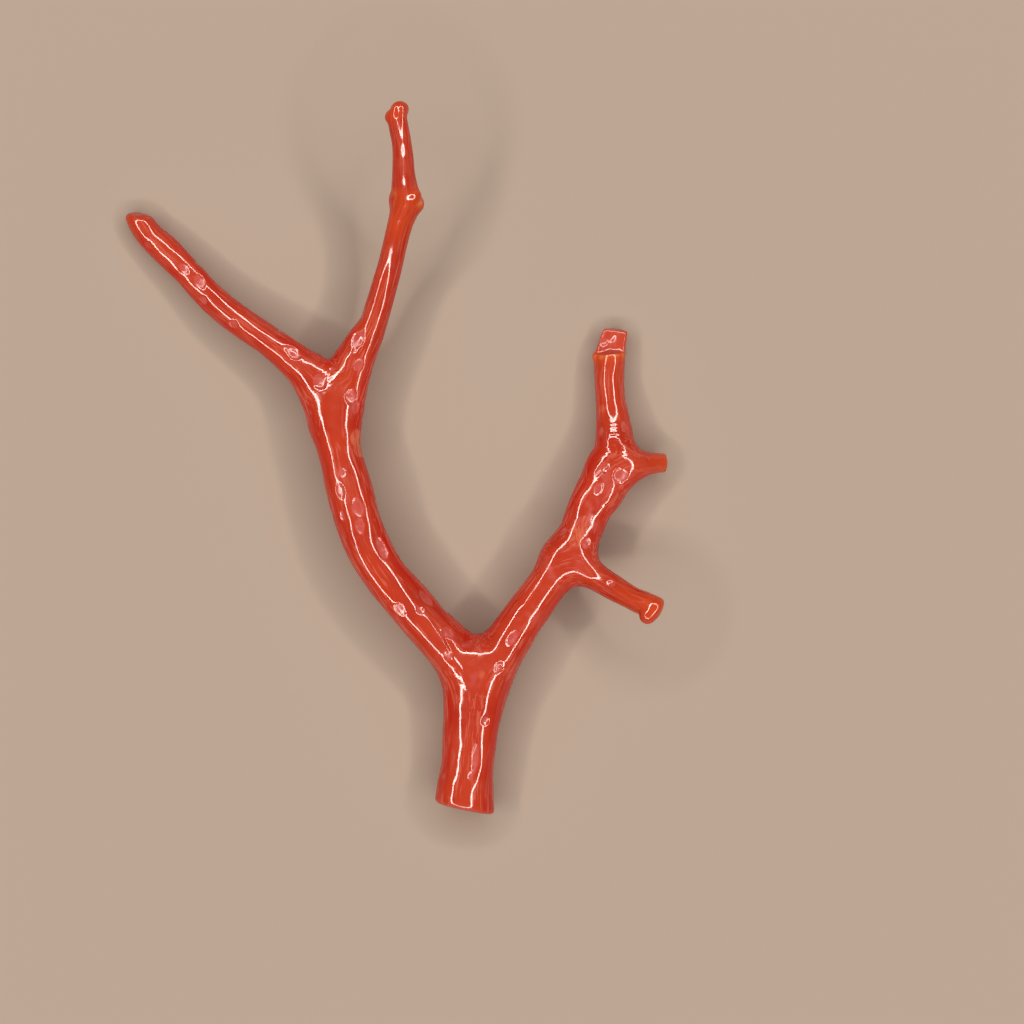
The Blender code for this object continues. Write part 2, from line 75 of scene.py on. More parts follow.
# Each limb is a row of stations along its middle: x, y, z, half its width, how many degrees its
# crown leans to the right of straight up, and how much flatter than round it is.
LIMBS = {
    "main": [
        (5.9, -31.0, 2.3, 2.65, -6, 0.14), (6.0, -28.8, 2.43, 2.52, -6, 0.14),
        (6.2, -26.3, 2.8, 2.3, 5, 0.18), (6.4, -23.8, 2.9, 2.4, 3, 0.16),
        (6.65, -21.4, 3.2, 2.5, 2, 0.23), (6.5, -19.3, 3.26, 2.5, 0, 0.18),
        (5.6, -17.2, 3.37, 2.3, -7, 0.05), (4.2, -15.5, 3.6, 2.05, -11, -0.05),
        (2.8, -14.0, 3.8, 1.95, -11, -0.05), (1.0, -11.9, 4.0, 1.95, -13, -0.03),
        (-0.8, -9.8, 4.48, 1.9, -6, 0.2), (-2.3, -7.4, 4.33, 2.0, -7, 0.14),
        (-3.4, -4.7, 4.25, 2.0, 4, 0.1), (-4.1, -2.0, 4.26, 2.05, 2, 0.15),
        (-4.8, 0.7, 4.19, 1.9, -1, 0.13), (-5.25, 3.1, 3.95, 2.1, -3, 0.21),
        (-5.9, 5.2, 3.67, 2.15, -7, 0.22), (-7.5, 7.7, 3.42, 1.8, 0, 0.15),
        (-9.5, 9.5, 3.3, 1.5, 0, 0.13), (-11.8, 11.2, 2.85, 1.35, -3, 0.0),
        (-14.1, 12.8, 2.6, 1.3, 2, 0.08), (-16.4, 14.7, 2.25, 1.3, 5, 0.13),
        (-18.3, 16.8, 1.96, 1.25, 3, 0.17), (-20.3, 18.8, 1.48, 1.3, 0, 0.1),
        (-21.6, 20.0, 1.21, 1.2, 0, 0.05), (-22.4, 21.05, 1.2, 1.15, 0, 0.05),
        (-22.85, 21.7, 1.15, 0.97, 0, 0.0),
    ],
    "right": [
        (7.3, -20.2, 2.2, 1.9, 0, 0.1), (8.1, -18.4, 3.05, 2.12, 0, 0.1),
        (9.1, -16.4, 3.4, 2.05, 4, -0.08), (10.7, -14.0, 3.6, 1.88, -1, 0.1),
        (12.2, -11.9, 3.65, 1.8, -5, 0.04), (14.6, -8.4, 3.55, 1.74, -4, 0.08),
        (15.9, -6.2, 3.45, 1.81, -3, 0.08), (16.9, -3.8, 3.3, 1.95, -2, 0.24),
        (17.9, -2.2, 3.05, 2.15, 3, 0.18), (18.7, -0.3, 2.9, 2.05, -2, 0.3),
        (19.1, 1.0, 2.73, 1.75, -4, 0.15), (19.06, 1.8, 2.62, 1.7, -2, 0.08),
        (19.03, 2.5, 2.385, 1.63, 0, 0.02), (18.97, 3.3, 2.1, 1.55, 1, 0.0),
        (18.87, 4.4, 1.985, 1.43, 2, 0.0), (18.7, 5.9, 1.81, 1.3, -1, 0.0),
        (18.65, 7.6, 1.47, 1.33, -5, -0.05), (18.65, 9.0, 1.42, 1.36, 4, 0.0),
        (18.9, 10.5, 1.35, 1.2, 0, 0.0), (19.25, 11.9, 1.3, 1.05, 0, 0.0),
    ],
    "upper": [
        (-5.3, 3.6, 3.9, 1.9, 0, 0.15), (-4.7, 5.5, 3.85, 2.0, 4, 0.2),
        (-4.2, 7.2, 3.85, 1.85, 6, 0.22), (-3.6, 8.9, 3.95, 1.7, 7, 0.17),
        (-2.75, 10.7, 4.1, 1.5, 2, 0.0), (-2.1, 12.0, 4.2, 1.28, 0, 0.0),
        (-1.3, 14.3, 4.5, 1.18, -3, 0.0), (-0.6, 16.6, 4.97, 1.08, -9, 0.0),
        (0.0, 19.0, 5.98, 1.03, -12, 0.0), (0.5, 20.75, 6.785, 1.09, -8, 0.0),
        (1.02, 22.35, 7.36, 1.28, 0, 0.0), (0.92, 23.55, 8.105, 1.15, 0, 0.0),
        (0.83, 24.65, 8.8, 1.0, 0, 0.0), (0.8, 26.3, 9.725, 0.92, 2, 0.0),
        (0.68, 27.3, 10.205, 0.86, 8, 0.0), (0.53, 28.15, 10.606, 0.83, 12, 0.0),
        (0.42, 28.8, 10.95, 0.81, 14, 0.05), (0.38, 29.35, 11.08, 0.78, 12, 0.08),
        (0.42, 29.95, 11.1, 0.65, 0, 0.0),
    ],
    "lower_side": [
        (14.3, -8.0, 3.6, 1.2, 0, 0.0), (15.8, -8.7, 3.8, 1.3, 0, 0.0),
        (17.3, -9.8, 4.2, 1.2, 0, -0.1), (18.8, -10.7, 5.1, 1.12, 0, 0.0),
        (20.4, -11.6, 6.28, 1.02, 0, 0.0), (21.3, -12.0, 6.8, 1.05, 0, 0.0),
        (22.3, -12.45, 7.25, 1.05, 0, 0.0),
    ],
    "stub": [
        (18.3, -0.2, 2.5, 1.05, 0, 0.0), (19.7, -0.35, 2.72, 1.33, 0, 0.0),
        (20.8, -0.2, 2.8, 1.22, 0, 0.0), (21.9, 0.0, 2.35, 1.03, 0, 0.0),
        (22.8, 0.1, 1.75, 0.92, 0, 0.0), (23.9, 0.1, 1.2, 0.86, 0, 0.0),
    ],
}
STATION_STEP = 0.3        # spacing of the smooth line drawn through the stations
LIMB_MARGIN = 4.0         # how far round a side limb its form is worked out
KNOB_MARGIN = 1.0         # the same round a knob and its web
POINTS_AT_A_TIME = 4000   # how many points are measured against a limb in one go

# The limb that each side limb grows from.
PARENTS = {"right": "main", "upper": "main", "lower_side": "right", "stub": "right"}

# How wide the web is where each side limb runs into the limbs before it.
WEBS = {"right": 1.7, "upper": 1.25, "lower_side": 1.9, "stub": 1.5}

# Knobs that swell out of a limb: x, y, z, radius and the width of the web round them.
KNOBS = [
    (2.0, 22.25, 7.35, 0.5, 0.75),    # right corner of the upper twig's knot
    (0.4, 22.7, 7.2, 0.75, 0.7),      # left shoulder of the same knot
    (1.56, 22.85, 8.1, 0.8, 0.15),    # small bud on the front of the knot
    (-0.13, 29.37, 10.9, 0.6, 0.3),   # left lobe of the upper tip
    (0.7, 30.0, 11.05, 0.62, 0.3),    # right lobe of the upper tip
    (17.62, 9.4, 1.6, 0.5, 0.25),     # lip at the edge of the right tip's broken face
    (21.75, -13.1, 7.7, 0.75, 0.4),   # lobe beside the lower side twig's end
]

# Flat and broken ends: a point on the end, the way it faces, how rounded its edge is, and how far
# from that point it cuts.
SAW_CUT = ((6.05, -30.14, 2.6), (-0.213, -0.977, 0.0), 0.45, 6.0)
STUB_END = ((23.6, 0.1, 1.4), (0.97, 0.0, -0.24), 0.35, 2.5)
TIP_END = ((19.3, 11.75, 1.4), (0.1, 0.98, 0.2), 0.3, 3.0)
TWIG_END = ((22.95, -12.8, 7.3), (0.9, -0.42, 0.1), 0.4, 2.2)
LEFT_END = ((-22.9, 22.08, 0.9), (0.03, 0.95, 0.3), 0.4, 2.5)
# The right tip is broken off in a step: a wall that faces the tip, over a rough face that looks
# up. Each is a point on it and the way it faces.
BREAK_WALL = ((18.5, 9.62, 2.4), (-0.08, 1.0, 0.02))
BREAK_FACE = ((18.8, 10.0, 1.9), (-0.12, 0.16, 0.98))
BREAK_EDGE = 0.12     # how rounded the step's edges are
BREAK_REACH = 3.4     # how far from the face's point the step cuts

# ---------------------------------------------------------------- the mesh

TUBE_SIDES = 8                # how finely a limb's first tube is rounded
BALL_SIDES = (24, 12)         # the same for a ball: round it, and from top to bottom
EVENING = 0.6                 # how far a pass moves each point towards its neighbours' middle
LONGEST_MOVE = 0.6            # how far a pass may move a point onto the form
ROUGH_PASSES = (6, 7)         # passes that even out the first mesh, and all its passes
FINE_PASSES = (1, 3)          # the same for the mesh with its small squares
SMOOTHING = (0.6, -0.62) * 5  # takes away the facets between stations and keeps the thickness
SHADING_PASSES = 5            # passes that even out the normals the skin is shaded with
SHADING_EVENING = 0.5         # how much each of those passes evens them out

# How far round pits, rough places and ridges the squares are halved.
PIT_FINENESS = (0.5, 0.35)    # share of a pit's length, and what is added to it
PATCH_FINENESS = 0.9          # share of a rough place's reach
RIDGE_FINENESS = (3.0, 0.7)   # times a ridge's half width, and the most it may be

# ---------------------------------------------------------------- the skin's relief, in millimetres

SWELL_DEPTH = 0.05    # slow unevenness of the polished skin
SWELL_LENGTH = 4.5
SWELL_WAYS = ((1, 0.4, 0.3), (-0.5, 1, 0.6), (0.3, -0.7, 1), (0.8, 0.9, -0.6))

FLUTE_FINENESS = 3.2  # how fine the lengthwise flutes are across a limb
FLUTE_LENGTH = 3.5    # how long they are along it
# Noise of the relief: the size of its lumps, and its seed.
FLUTES = (1.0, 1)
LUMPS = (1.7, 2)
CRUMBS = (0.55, 3)
RIM = (0.9, 4)
GRIT = (0.3, 5)
FINE_RIM = (0.35, 6)
WAVES = (1.0, 9)
# How much more of the relief shows in busy places, on broken faces and in pits.
BUSY_FLUTES = 1
BUSY_LUMPS = 2
BUSY_CRUMBS = 3
BROKEN_CRUMBS = 16
PIT_CRUMBS = 4
BROKEN_GRIT = 3
BUSY_BLUSH = 0.55     # how rosy busy places are, where a pit is 1
BROKEN_BLUSH = 0.5    # the same for broken faces
CUT_EDGE = (-0.35, -0.08)     # depth behind the saw cut where its flat face begins and is whole

PIT_POINT = 1.6       # how round a pit's outline is: 2 for an oval, less for an almond
PIT_BASE = 0.45       # added to a pit's half width before its depth is worked out
PIT_RIM = 1.1         # where a pit's wall begins, in half lengths and half widths
PIT_BLUSH_RIM = 1.06  # where its pink begins
PIT_WALL = (0.3, 0.5)         # the wall's steepest breadth, and what is added on its gentle side
PIT_TURN = 2.4        # how far the gentle side turns from one pit to the next, in radians
PIT_NARROWING = 0.3   # how much narrower one end of a pit is than its middle
RIM_RAGGEDNESS = 0.24         # unevenness of a pit's outline
FINE_RIM_RAGGEDNESS = 0.08
BASIN = 0.45          # depth of the soft basin round a pit, as a share of the pit's own
BASIN_REACH = 1.5     # how wide the basin is, in half lengths and half widths of the pit
PIT_MARGIN = 3.2      # how far round a pit it is worked out, in half lengths
UNDER_PITS = 40       # pits strewn over the sides and the underside
UNDER_FACING = 0.2    # the upward part of the normal below which the skin is side or underside
UNDER_LENGTHS = (0.8, 2.0)
UNDER_WIDTHS = (0.5, 0.9)     # as shares of their lengths
UNDER_DEPTH = 0.9
PIT_SEED = 11

RIDGE_STEP = 0.2      # spacing of the smooth line drawn through a ridge's points
RIDGE_MARGIN = 5      # how far round a ridge it is worked out, in half widths
RIDGE_FADE = 0.25     # share of a ridge's length over which it fades in and out

# Ridges, furrows and small steps along the upper side: points x and y, half width, height (below 0
# for a furrow) and tilt, which lifts the left side of the path and lowers its right.
RIDGES = [
    ([(2.6, -12.7), (3.38, -13.95), (4.23, -15.28), (4.96, -16.57)], 0.17, 0.0, -0.115),
    ([(3.8, -14.6), (4.23, -15.28), (4.96, -16.57), (5.85, -17.83), (6.17, -18.95), (6.5, -19.75)],
     0.19, 0.0, -0.15),
    ([(3.9, -13.8), (4.7, -14.9), (5.5, -15.8)], 0.25, 0.05, 0.0),
    ([(11.0, -12.6), (11.6, -11.6), (12.3, -10.6)], 0.16, 0.03, 0.0),
    ([(4.4, -21.6), (4.5, -20.0), (4.6, -18.6)], 0.22, 0.05, 0.0),
    ([(0.36, 30.6), (0.4, 29.8), (0.46, 29.0)], 0.16, -0.1, 0.0),
    ([(18.1, 3.72), (19.0, 3.72), (19.9, 3.72)], 0.3, 0.052, 0.0),
    ([(18.1, 2.2), (19.0, 2.2), (19.9, 2.2)], 0.35, 0.03, 0.0),
    ([(-7.6, 10.0), (-6.5, 9.15), (-5.6, 8.85), (-4.8, 9.15), (-4.0, 10.1)], 1.0, 0.17, 0.0),
]

# Places with a rosy blush in patches: x, y, z, reach and strength.
ROSY = [
    (5.6, -15.8, 5.5, 2.4, 0.9), (6.3, -18.2, 5.6, 1.6, 0.6), (11.5, -12.8, 5.4, 1.8, 0.65),
    (14.3, -8.8, 5.3, 2.2, 0.9), (16.7, -4.4, 5.2, 1.8, 0.9),
]
# Rough places that the polish didn't reach: x, y, z, reach and strength.
BUSY = [(18.4, -0.9, 4.8, 2.2, 1.0), (19.5, 0.9, 4.4, 1.5, 1.0), (17.6, -3.2, 5.0, 1.2, 0.4)]
# Broken faces: x, y, z, reach and strength.
BROKEN = [(18.8, 10.7, 2.2, 1.6, 1.0)]

# Pits on the upper side: x, y, length along the limb, width across it and share of full depth.
PITS = [
    # left twig, from its tip
    (-21.8, 19.1, 0.9, 0.7, 0.6), (-18.5, 17.0, 1.2, 0.9, 0.9), (-17.2, 15.9, 1.4, 1.0, 1.0),
    (-16.8, 14.3, 0.9, 0.7, 0.8), (-14.1, 12.1, 1.0, 0.8, 0.9), (-9.0, 9.7, 1.7, 1.1, 1.0),
    # second fork and the foot of the upper twig
    (-6.5, 7.1, 1.5, 1.5, 0.6), (-5.5, 8.0, 0.7, 0.6, 0.6), (-3.2, 10.9, 1.9, 1.3, 1.0),
    (-3.5, 9.8, 0.5, 0.4, 0.8), (-3.2, 8.6, 1.2, 1.0, 0.8), (-3.8, 5.8, 1.4, 1.2, 0.9),
    (-3.4, 4.8, 1.4, 1.0, 0.9),
    # left branch
    (-4.6, -0.7, 0.9, 0.8, 0.9), (-4.7, -2.4, 1.4, 0.8, 1.0), (-4.6, -4.5, 1.1, 0.5, 0.9),
    (-3.2, -3.7, 1.9, 1.2, 1.0), (-3.0, -5.5, 1.6, 1.0, 1.0), (-1.2, -7.1, 2.6, 1.0, 1.0),
    (2.7, -11.6, 1.7, 1.1, 0.8), (0.4, -12.7, 1.6, 1.0, 0.8), (2.1, -12.7, 0.7, 0.6, 0.9),
    # first fork and the trunk
    (4.6, -14.7, 1.2, 1.0, 0.9), (4.6, -16.7, 0.9, 0.7, 0.8), (10.1, -15.1, 1.9, 1.0, 1.0),
    (8.9, -17.7, 1.0, 0.7, 1.0), (7.8, -22.3, 0.9, 0.7, 1.0), (6.9, -25.7, 3.1, 0.7, 0.9),
    (6.5, -27.2, 0.8, 0.6, 0.9), (4.1, -27.2, 0.7, 0.5, 0.6),
    # right branch
    (14.5, -5.9, 0.8, 0.6, 0.8), (16.5, -6.9, 1.2, 0.9, 0.9), (17.6, -2.2, 1.4, 1.0, 1.0),
    (17.5, -0.8, 0.7, 0.5, 0.9), (19.6, -1.0, 1.7, 1.2, 1.0), (18.2, -0.2, 0.8, 0.6, 0.9),
    # right tip and the lower side twig
    (17.8, 2.8, 0.8, 0.6, 0.9), (19.9, 3.3, 1.2, 0.7, 1.0), (18.1, 10.7, 0.8, 0.6, 0.7),
    (18.9, 11.1, 0.8, 0.5, 0.7), (18.7, -10.4, 0.8, 0.6, 0.9),
]

# ---------------------------------------------------------------- the skin's colour

# Where young growth shows orange, and along the right tip's ledge a painted highlight of its edge:
# x, y, z, reach and strength, above 1 where it is brightest.
YOUNG_AND_LEDGE_HIGHLIGHT = [
    (0.0, 29.9, 11.1, 1.5, 0.9), (1.0, 22.6, 8.1, 1.7, 1.1), (2.1, 22.35, 8.0, 0.8, 2.0),
    (1.75, 23.1, 8.7, 0.5, 1.8), (0.2, 23.1, 8.6, 0.7, 1.6), (0.3, 20.8, 7.6, 2.6, 0.8),
    (0.7, 26.5, 10.2, 2.6, 0.25), (22.2, -12.5, 7.6, 2.0, 1.0), (20.2, -11.4, 6.8, 2.2, 0.5),
    (23.4, 0.1, 1.6, 2.4, 1.0), (20.6, -0.1, 2.9, 1.6, 0.4), (18.6, 8.9, 2.4, 2.0, 0.45),
    (19.1, 11.0, 1.6, 1.8, 0.5), (-22.9, 21.2, 1.1, 1.8, 0.35), (4.6, -29.5, 3.5, 2.8, 0.3),
    # These spots along the right tip's ledge paint the highlight of its edge in bright orange, over
    # the ledge's own orange.
    (17.4, 9.4, 1.9, 0.65, 1.7), (17.85, 9.4, 2.5, 0.65, 1.8), (18.35, 9.4, 2.75, 0.7, 1.7),
    (18.85, 9.45, 2.8, 0.7, 1.6), (19.35, 9.5, 2.6, 0.65, 1.8), (19.8, 9.5, 2.2, 0.6, 1.6),
]
# Pale patches of the same growth: x, y, z, reach and strength.
PALE = [
    (16.0, -5.7, 5.2, 0.8, 1.4), (15.6, -6.6, 5.2, 0.75, 1.3), (15.8, -6.1, 5.2, 0.7, 1.3),
    (16.4, -5.0, 5.1, 0.6, 1.3),
    (18.1, 4.8, 2.9, 0.6, 0.7), (-8.6, 8.1, 4.7, 0.5, 0.6), (-1.9, -4.9, 5.4, 0.3, 0.9),
    (-3.25, 2.2, 5.0, 0.9, 1.3), (-3.15, 1.2, 5.0, 0.8, 1.2), (7.5, -18.3, 5.3, 0.7, 0.6),
]
SPOT_EDGE = 1.5       # how fast a spot's strength falls off towards its reach

# Noise of the colour: clouds to a metre, and the stretch across, up and along a limb of its grain.
BROAD_CLOUDS = 260.0
ROSE_CLOUDS = 420.0
FINE_CLOUDS = 1500.0
STREAK_STRETCH = (12.0, 12.0, 0.4)
BAND_STRETCH = (2.5, 2.5, 0.2)
CUT_SHARE = 0.6       # how strongly the saw cut takes its own colour
# How much the streaks, the polished skin and the pits add to the finest relief.
STREAK_RIPPLES = 0.2
SKIN_RIPPLES = 0.1
PIT_RIPPLES = 3.0
GLOW_COLOUR = (1.0, 0.25, 0.12)   # how deep red, green and blue light goes

# ---------------------------------------------------------------- the stage, in metres

CAMERA_PLACE = (10.1, -4.2)   # what the camera is over, in millimetres of the coral's own frame
SENSOR_WIDTH = 36.0           # in millimetres, as the lens is
NEAREST_SEEN = 0.01
FLOOR_REACH = 2.0             # half the floor's width
FLOOR_ROUGHNESS = 0.7
FLOOR_GLOSS = 0.2
SKY_COLOUR = (1.0, 0.96, 0.93, 1.0)


def unit(vector):
    """The vector as a numpy array of length 1."""
    array = np.array(vector, dtype=float)
    return array / np.linalg.norm(array)


def smooth_line(stations, step):
    """A smooth line through the stations, as rows like them."""
    points = np.array(stations, dtype=float)
    before = 2 * points[0] - points[1]
    after = 2 * points[-1] - points[-2]
    points = np.vstack([before, points, after])
    rows = []
    for i in range(1, len(points) - 2):
        a, b, c, d = points[i - 1:i + 3]
        start_slope = (c - a) / 2
        end_slope = (d - b) / 2
        steps = max(2, math.ceil(np.linalg.norm((c - b)[:3]) / step))
        for t in np.arange(steps) / steps:
            rows.append((2 * t**3 - 3 * t**2 + 1) * b + (t**3 - 2 * t**2 + t) * start_slope
                        + (3 * t**2 - 2 * t**3) * c + (t**3 - t**2) * end_slope)
    rows.append(points[-2])
    return np.array(rows)


def with_run(line, parent):
    """The line with the distance from the coral's foot to each of its rows as a last column."""
    run = np.concatenate([[0], np.linalg.norm(np.diff(line[:, :3], axis=0), axis=1).cumsum()])
    if parent is not None:
        run += parent[np.linalg.norm(parent[:, :3] - line[0, :3], axis=1).argmin(), -1]
    return np.column_stack([line, run])


def limb_lines(step):
    """Every limb's line, as rows of x, y, z, half width, lean, flatness and run."""
    lines = {}
    for name, stations in LIMBS.items():
        parent = lines.get(PARENTS.get(name))
        lines[name] = with_run(smooth_line(stations, step), parent)
    return lines


def limb_form(line, points):
    """A limb's skin seen from each point: distance, the way out, and place across, up and along."""
    start = line[:-1]
    stretch = line[1:] - start
    length_squared = (stretch[:, :3]**2).sum(axis=1)
    form = np.empty((len(points), 7))
    for first in range(0, len(points), POINTS_AT_A_TIME):
        some = points[first:first + POINTS_AT_A_TIME]
        reach = some[:, None, :] - start[None, :, :3]
        share = np.clip((reach * stretch[None, :, :3]).sum(axis=2) / length_squared, 0, 1)
        away = reach - share[:, :, None] * stretch[None, :, :3]
        gap = np.linalg.norm(away, axis=2) - (start[:, 3] + share * stretch[:, 3])
        nearest = gap.argmin(axis=1)
        row = np.arange(len(some))
        share = share[row, nearest]
        away = away[row, nearest]
        station = start[nearest, 3:] + share[:, None] * stretch[nearest, 3:]
        half_width, lean, flatness, run = station.T
        heading = stretch[nearest, :3]
        right = np.stack([heading[:, 1], -heading[:, 0], np.zeros(len(some))], axis=1)
        right /= np.linalg.norm(right, axis=1)[:, None]
        upward = np.cross(right, heading / np.linalg.norm(heading, axis=1)[:, None])
        side = (away * right).sum(axis=1)
        height = (away * upward).sum(axis=1)
        square = np.maximum((away**2).sum(axis=1), 1e-9)
        section = 1 + (np.radians(lean) * side * height - flatness * height**2) / square
        length = np.sqrt(square)
        here = form[first:first + POINTS_AT_A_TIME]
        here[:, 0] = length - half_width * section
        here[:, 1:4] = away / length[:, None]
        here[:, 4] = side / half_width
        here[:, 5] = height / half_width
        here[:, 6] = run
    return form


def blend(first, second, width):
    """The union of two forms, with a web of the given width between them."""
    share = np.clip(0.5 + 0.5 * (second[:, 0] - first[:, 0]) / width, 0, 1)[:, None]
    merged = second * (1 - share) + first * share
    merged[:, 0] -= width * (share * (1 - share))[:, 0]
    return merged


def cut_end(form, points, end):
    """Cuts a limb off at a plane, with a rounded edge."""
    place, facing, edge, reach = end
    facing = unit(facing)
    near = np.nonzero(np.linalg.norm(points - place, axis=1) < reach)[0]
    depth = (points[near] - place) @ facing
    share = np.clip(0.5 - 0.5 * (depth - form[near, 0]) / edge, 0, 1)
    form[near, 0] = depth * (1 - share) + form[near, 0] * share + edge * share * (1 - share)
    form[near, 1:4] = facing * (1 - share)[:, None] + form[near, 1:4] * share[:, None]


def break_off(form, points):
    """Breaks the right tip off in a step, down to its rough face."""
    near = np.nonzero(np.linalg.norm(points - BREAK_FACE[0], axis=1) < BREAK_REACH)[0]
    wall, face = [(points[near] - place) @ unit(facing)
                  for place, facing in (BREAK_WALL, BREAK_FACE)]
    on_wall = np.clip(0.5 + 0.5 * (face - wall) / BREAK_EDGE, 0, 1)
    depth = face * (1 - on_wall) + wall * on_wall - BREAK_EDGE * on_wall * (1 - on_wall)
    facing = (1 - on_wall)[:, None] * unit(BREAK_FACE[1]) + on_wall[:, None] * unit(BREAK_WALL[1])
    share = np.clip(0.5 - 0.5 * (depth - form[near, 0]) / BREAK_EDGE, 0, 1)
    form[near, 0] = depth * (1 - share) + form[near, 0] * share + BREAK_EDGE * share * (1 - share)
    form[near, 1:4] = facing * (1 - share)[:, None] + form[near, 1:4] * share[:, None]


def within(points, low, high):
    """Indices of the points inside a box."""
    return np.nonzero(((points > low) & (points < high)).all(axis=1))[0]


def coral_form(lines, points):
    """The whole coral's skin seen from each point, in the same columns as one limb's."""
    form = limb_form(lines["main"], points)
    for name, width in WEBS.items():
        line = lines[name]
        low, top = line[:, :3].min(axis=0), line[:, :3].max(axis=0)
        near = within(points, low - LIMB_MARGIN, top + LIMB_MARGIN)
        form[near] = blend(form[near], limb_form(line, points[near]), width)
    for x, y, z, radius, width in KNOBS:
        reach = radius + 2 * width + KNOB_MARGIN
        near = within(points, np.array((x, y, z)) - reach, np.array((x, y, z)) + reach)
        away = points[near] - (x, y, z)
        length = np.maximum(np.linalg.norm(away, axis=1), 1e-9)
        knob = form[near].copy()
        knob[:, 0] = length - radius
        knob[:, 1:4] = away / length[:, None]
        form[near] = blend(form[near], knob, width)
    for end in (SAW_CUT, STUB_END, TIP_END, TWIG_END, LEFT_END):
        cut_end(form, points, end)
    break_off(form, points)
    return form


# ---------------------------------------------------------------- the skin's relief

def soft_step(values, low, high):
    """Rises smoothly from 0 at low to 1 at high."""
    share = np.clip((values - low) / (high - low), 0, 1)
    return share * share * (3 - 2 * share)


def mottle(places, size, seed):
    """Smooth noise from -1 to 1 at each place, with lumps of about that size."""
    shift = Vector((seed * 7.3, seed * 3.1, seed * 5.7))
    return np.array([noise.noise(Vector(place) + shift) for place in places / size])


def spots(points, rows):
    """How strongly the listed spots show at each point: rows of x, y, z, reach and strength."""
    total = np.zeros(len(points))
    for x, y, z, reach, strength in rows:
        near = np.linalg.norm(points - (x, y, z), axis=1) / reach
        total = np.maximum(total, strength * np.exp(-near**2 * SPOT_EDGE))
    return total


def placed_pits(points, normals, lines, form):
    """The pits as rows of a point on the skin, the limb's direction there, half sizes and depth."""
    pits = []
    upper = np.nonzero(form[:, 5] > 0)[0]
    for x, y, length, width, depth in PITS:
        flat = np.hypot(points[upper, 0] - x, points[upper, 1] - y)
        pits.append((upper[flat.argmin()], length, width, depth))
    chance = random.Random(PIT_SEED)
    lower = np.nonzero(normals[:, 2] < UNDER_FACING)[0]
    for _ in range(UNDER_PITS):
        length = chance.uniform(*UNDER_LENGTHS)
        width = length * chance.uniform(*UNDER_WIDTHS)
        pits.append((lower[chance.randrange(len(lower))], length, width, UNDER_DEPTH))
    middle = np.vstack([line[:-1, :3] for line in lines.values()])
    heading = np.vstack([np.diff(line[:, :3], axis=0) for line in lines.values()])
    rows = []
    for index, length, width, depth in pits:
        nearest = np.linalg.norm(middle - points[index], axis=1).argmin()
        rows.append((points[index], unit(heading[nearest]), length / 2, width / 2, depth))
    return rows


def pit_relief(points, pits, depth_share):
    """How far each point sinks into the pits, and how much it belongs to one."""
    sink, basins, inside = np.zeros((3, len(points)))
    for number, (centre, along, half_length, half_width, depth) in enumerate(pits):
        margin = PIT_MARGIN * half_length
        near = within(points, centre - margin, centre + margin)
        away = points[near] - centre
        run = away @ along
        across = away - run[:, None] * along
        beside = across @ unit(np.cross(along, (0, 0, 1)))
        deepest = depth * depth_share * (PIT_BASE + half_width)
        ragged = (1 + RIM_RAGGEDNESS * mottle(points[near], *RIM)
                  + FINE_RIM_RAGGEDNESS * mottle(points[near], *FINE_RIM))
        side = np.linalg.norm(across, axis=1)
        turn = number * PIT_TURN
        narrowing = 1 + PIT_NARROWING * math.cos(turn) * np.clip(run / half_length, -1, 1)
        spread = (np.abs(run) / half_length)**PIT_POINT
        spread += (side / half_width * narrowing)**PIT_POINT
        spread = spread**(1 / PIT_POINT)
        basins[near] += BASIN * deepest * np.exp(-(spread / BASIN_REACH)**2)
        spread *= ragged
        slant = run / half_length * math.cos(turn) + beside / half_width * math.sin(turn)
        wall = PIT_WALL[0] + PIT_WALL[1] * soft_step(slant, -0.2, 1.0)
        dish = deepest * soft_step((PIT_RIM - spread) / wall, 0.0, 1.0)
        sink[near] = np.maximum(sink[near], dish)
        floor = depth * soft_step((PIT_BLUSH_RIM - spread) / wall, 0.0, 0.7)
        inside[near] = np.maximum(inside[near], floor)
    return sink + basins, inside


def ridges(points, form):
    """How high the ridges and furrows of the upper side stand at each point."""
    high = np.zeros(len(points))
    upper = form[:, 5] > 0
    for path, half_width, height, tilt in RIDGES:
        line = smooth_line([(x, y, 0, 0) for x, y in path], RIDGE_STEP)[:, :2]
        start, stretch = line[:-1], np.diff(line, axis=0)
        low = line.min(axis=0) - RIDGE_MARGIN * half_width
        top = line.max(axis=0) + RIDGE_MARGIN * half_width
        near = np.nonzero(upper & ((points[:, :2] > low) & (points[:, :2] < top)).all(axis=1))[0]
        reach = points[near, None, :2] - start
        share = np.clip((reach * stretch).sum(axis=2) / (stretch**2).sum(axis=1), 0, 1)
        away = reach - share[:, :, None] * stretch
        nearest = np.linalg.norm(away, axis=2).argmin(axis=1)
        row = np.arange(len(near))
        along = (nearest + share[row, nearest]) / len(start)
        fade = soft_step(np.minimum(along, 1 - along), 0.0, RIDGE_FADE)
        ahead = stretch[nearest]
        side = ahead[:, 0] * away[row, nearest, 1] - ahead[:, 1] * away[row, nearest, 0]
        side /= half_width * np.linalg.norm(ahead, axis=1)
        crest = height * np.exp(-0.5 * side**2)
        high[near] += fade * (crest + tilt * side / (1 + side**2)**1.5)
    return high


def swell(points):
    """Slow unevenness of the skin, as sums of crossing waves."""
    total = np.zeros(len(points))
    for number, way in enumerate(SWELL_WAYS):
        wave = points @ unit(way) * 2 * math.pi / (SWELL_LENGTH * (1 + 0.23 * number))
        total += np.sin(wave + 1.7 * number)
    return SWELL_DEPTH * total / len(SWELL_WAYS)


# ---------------------------------------------------------------- meshes

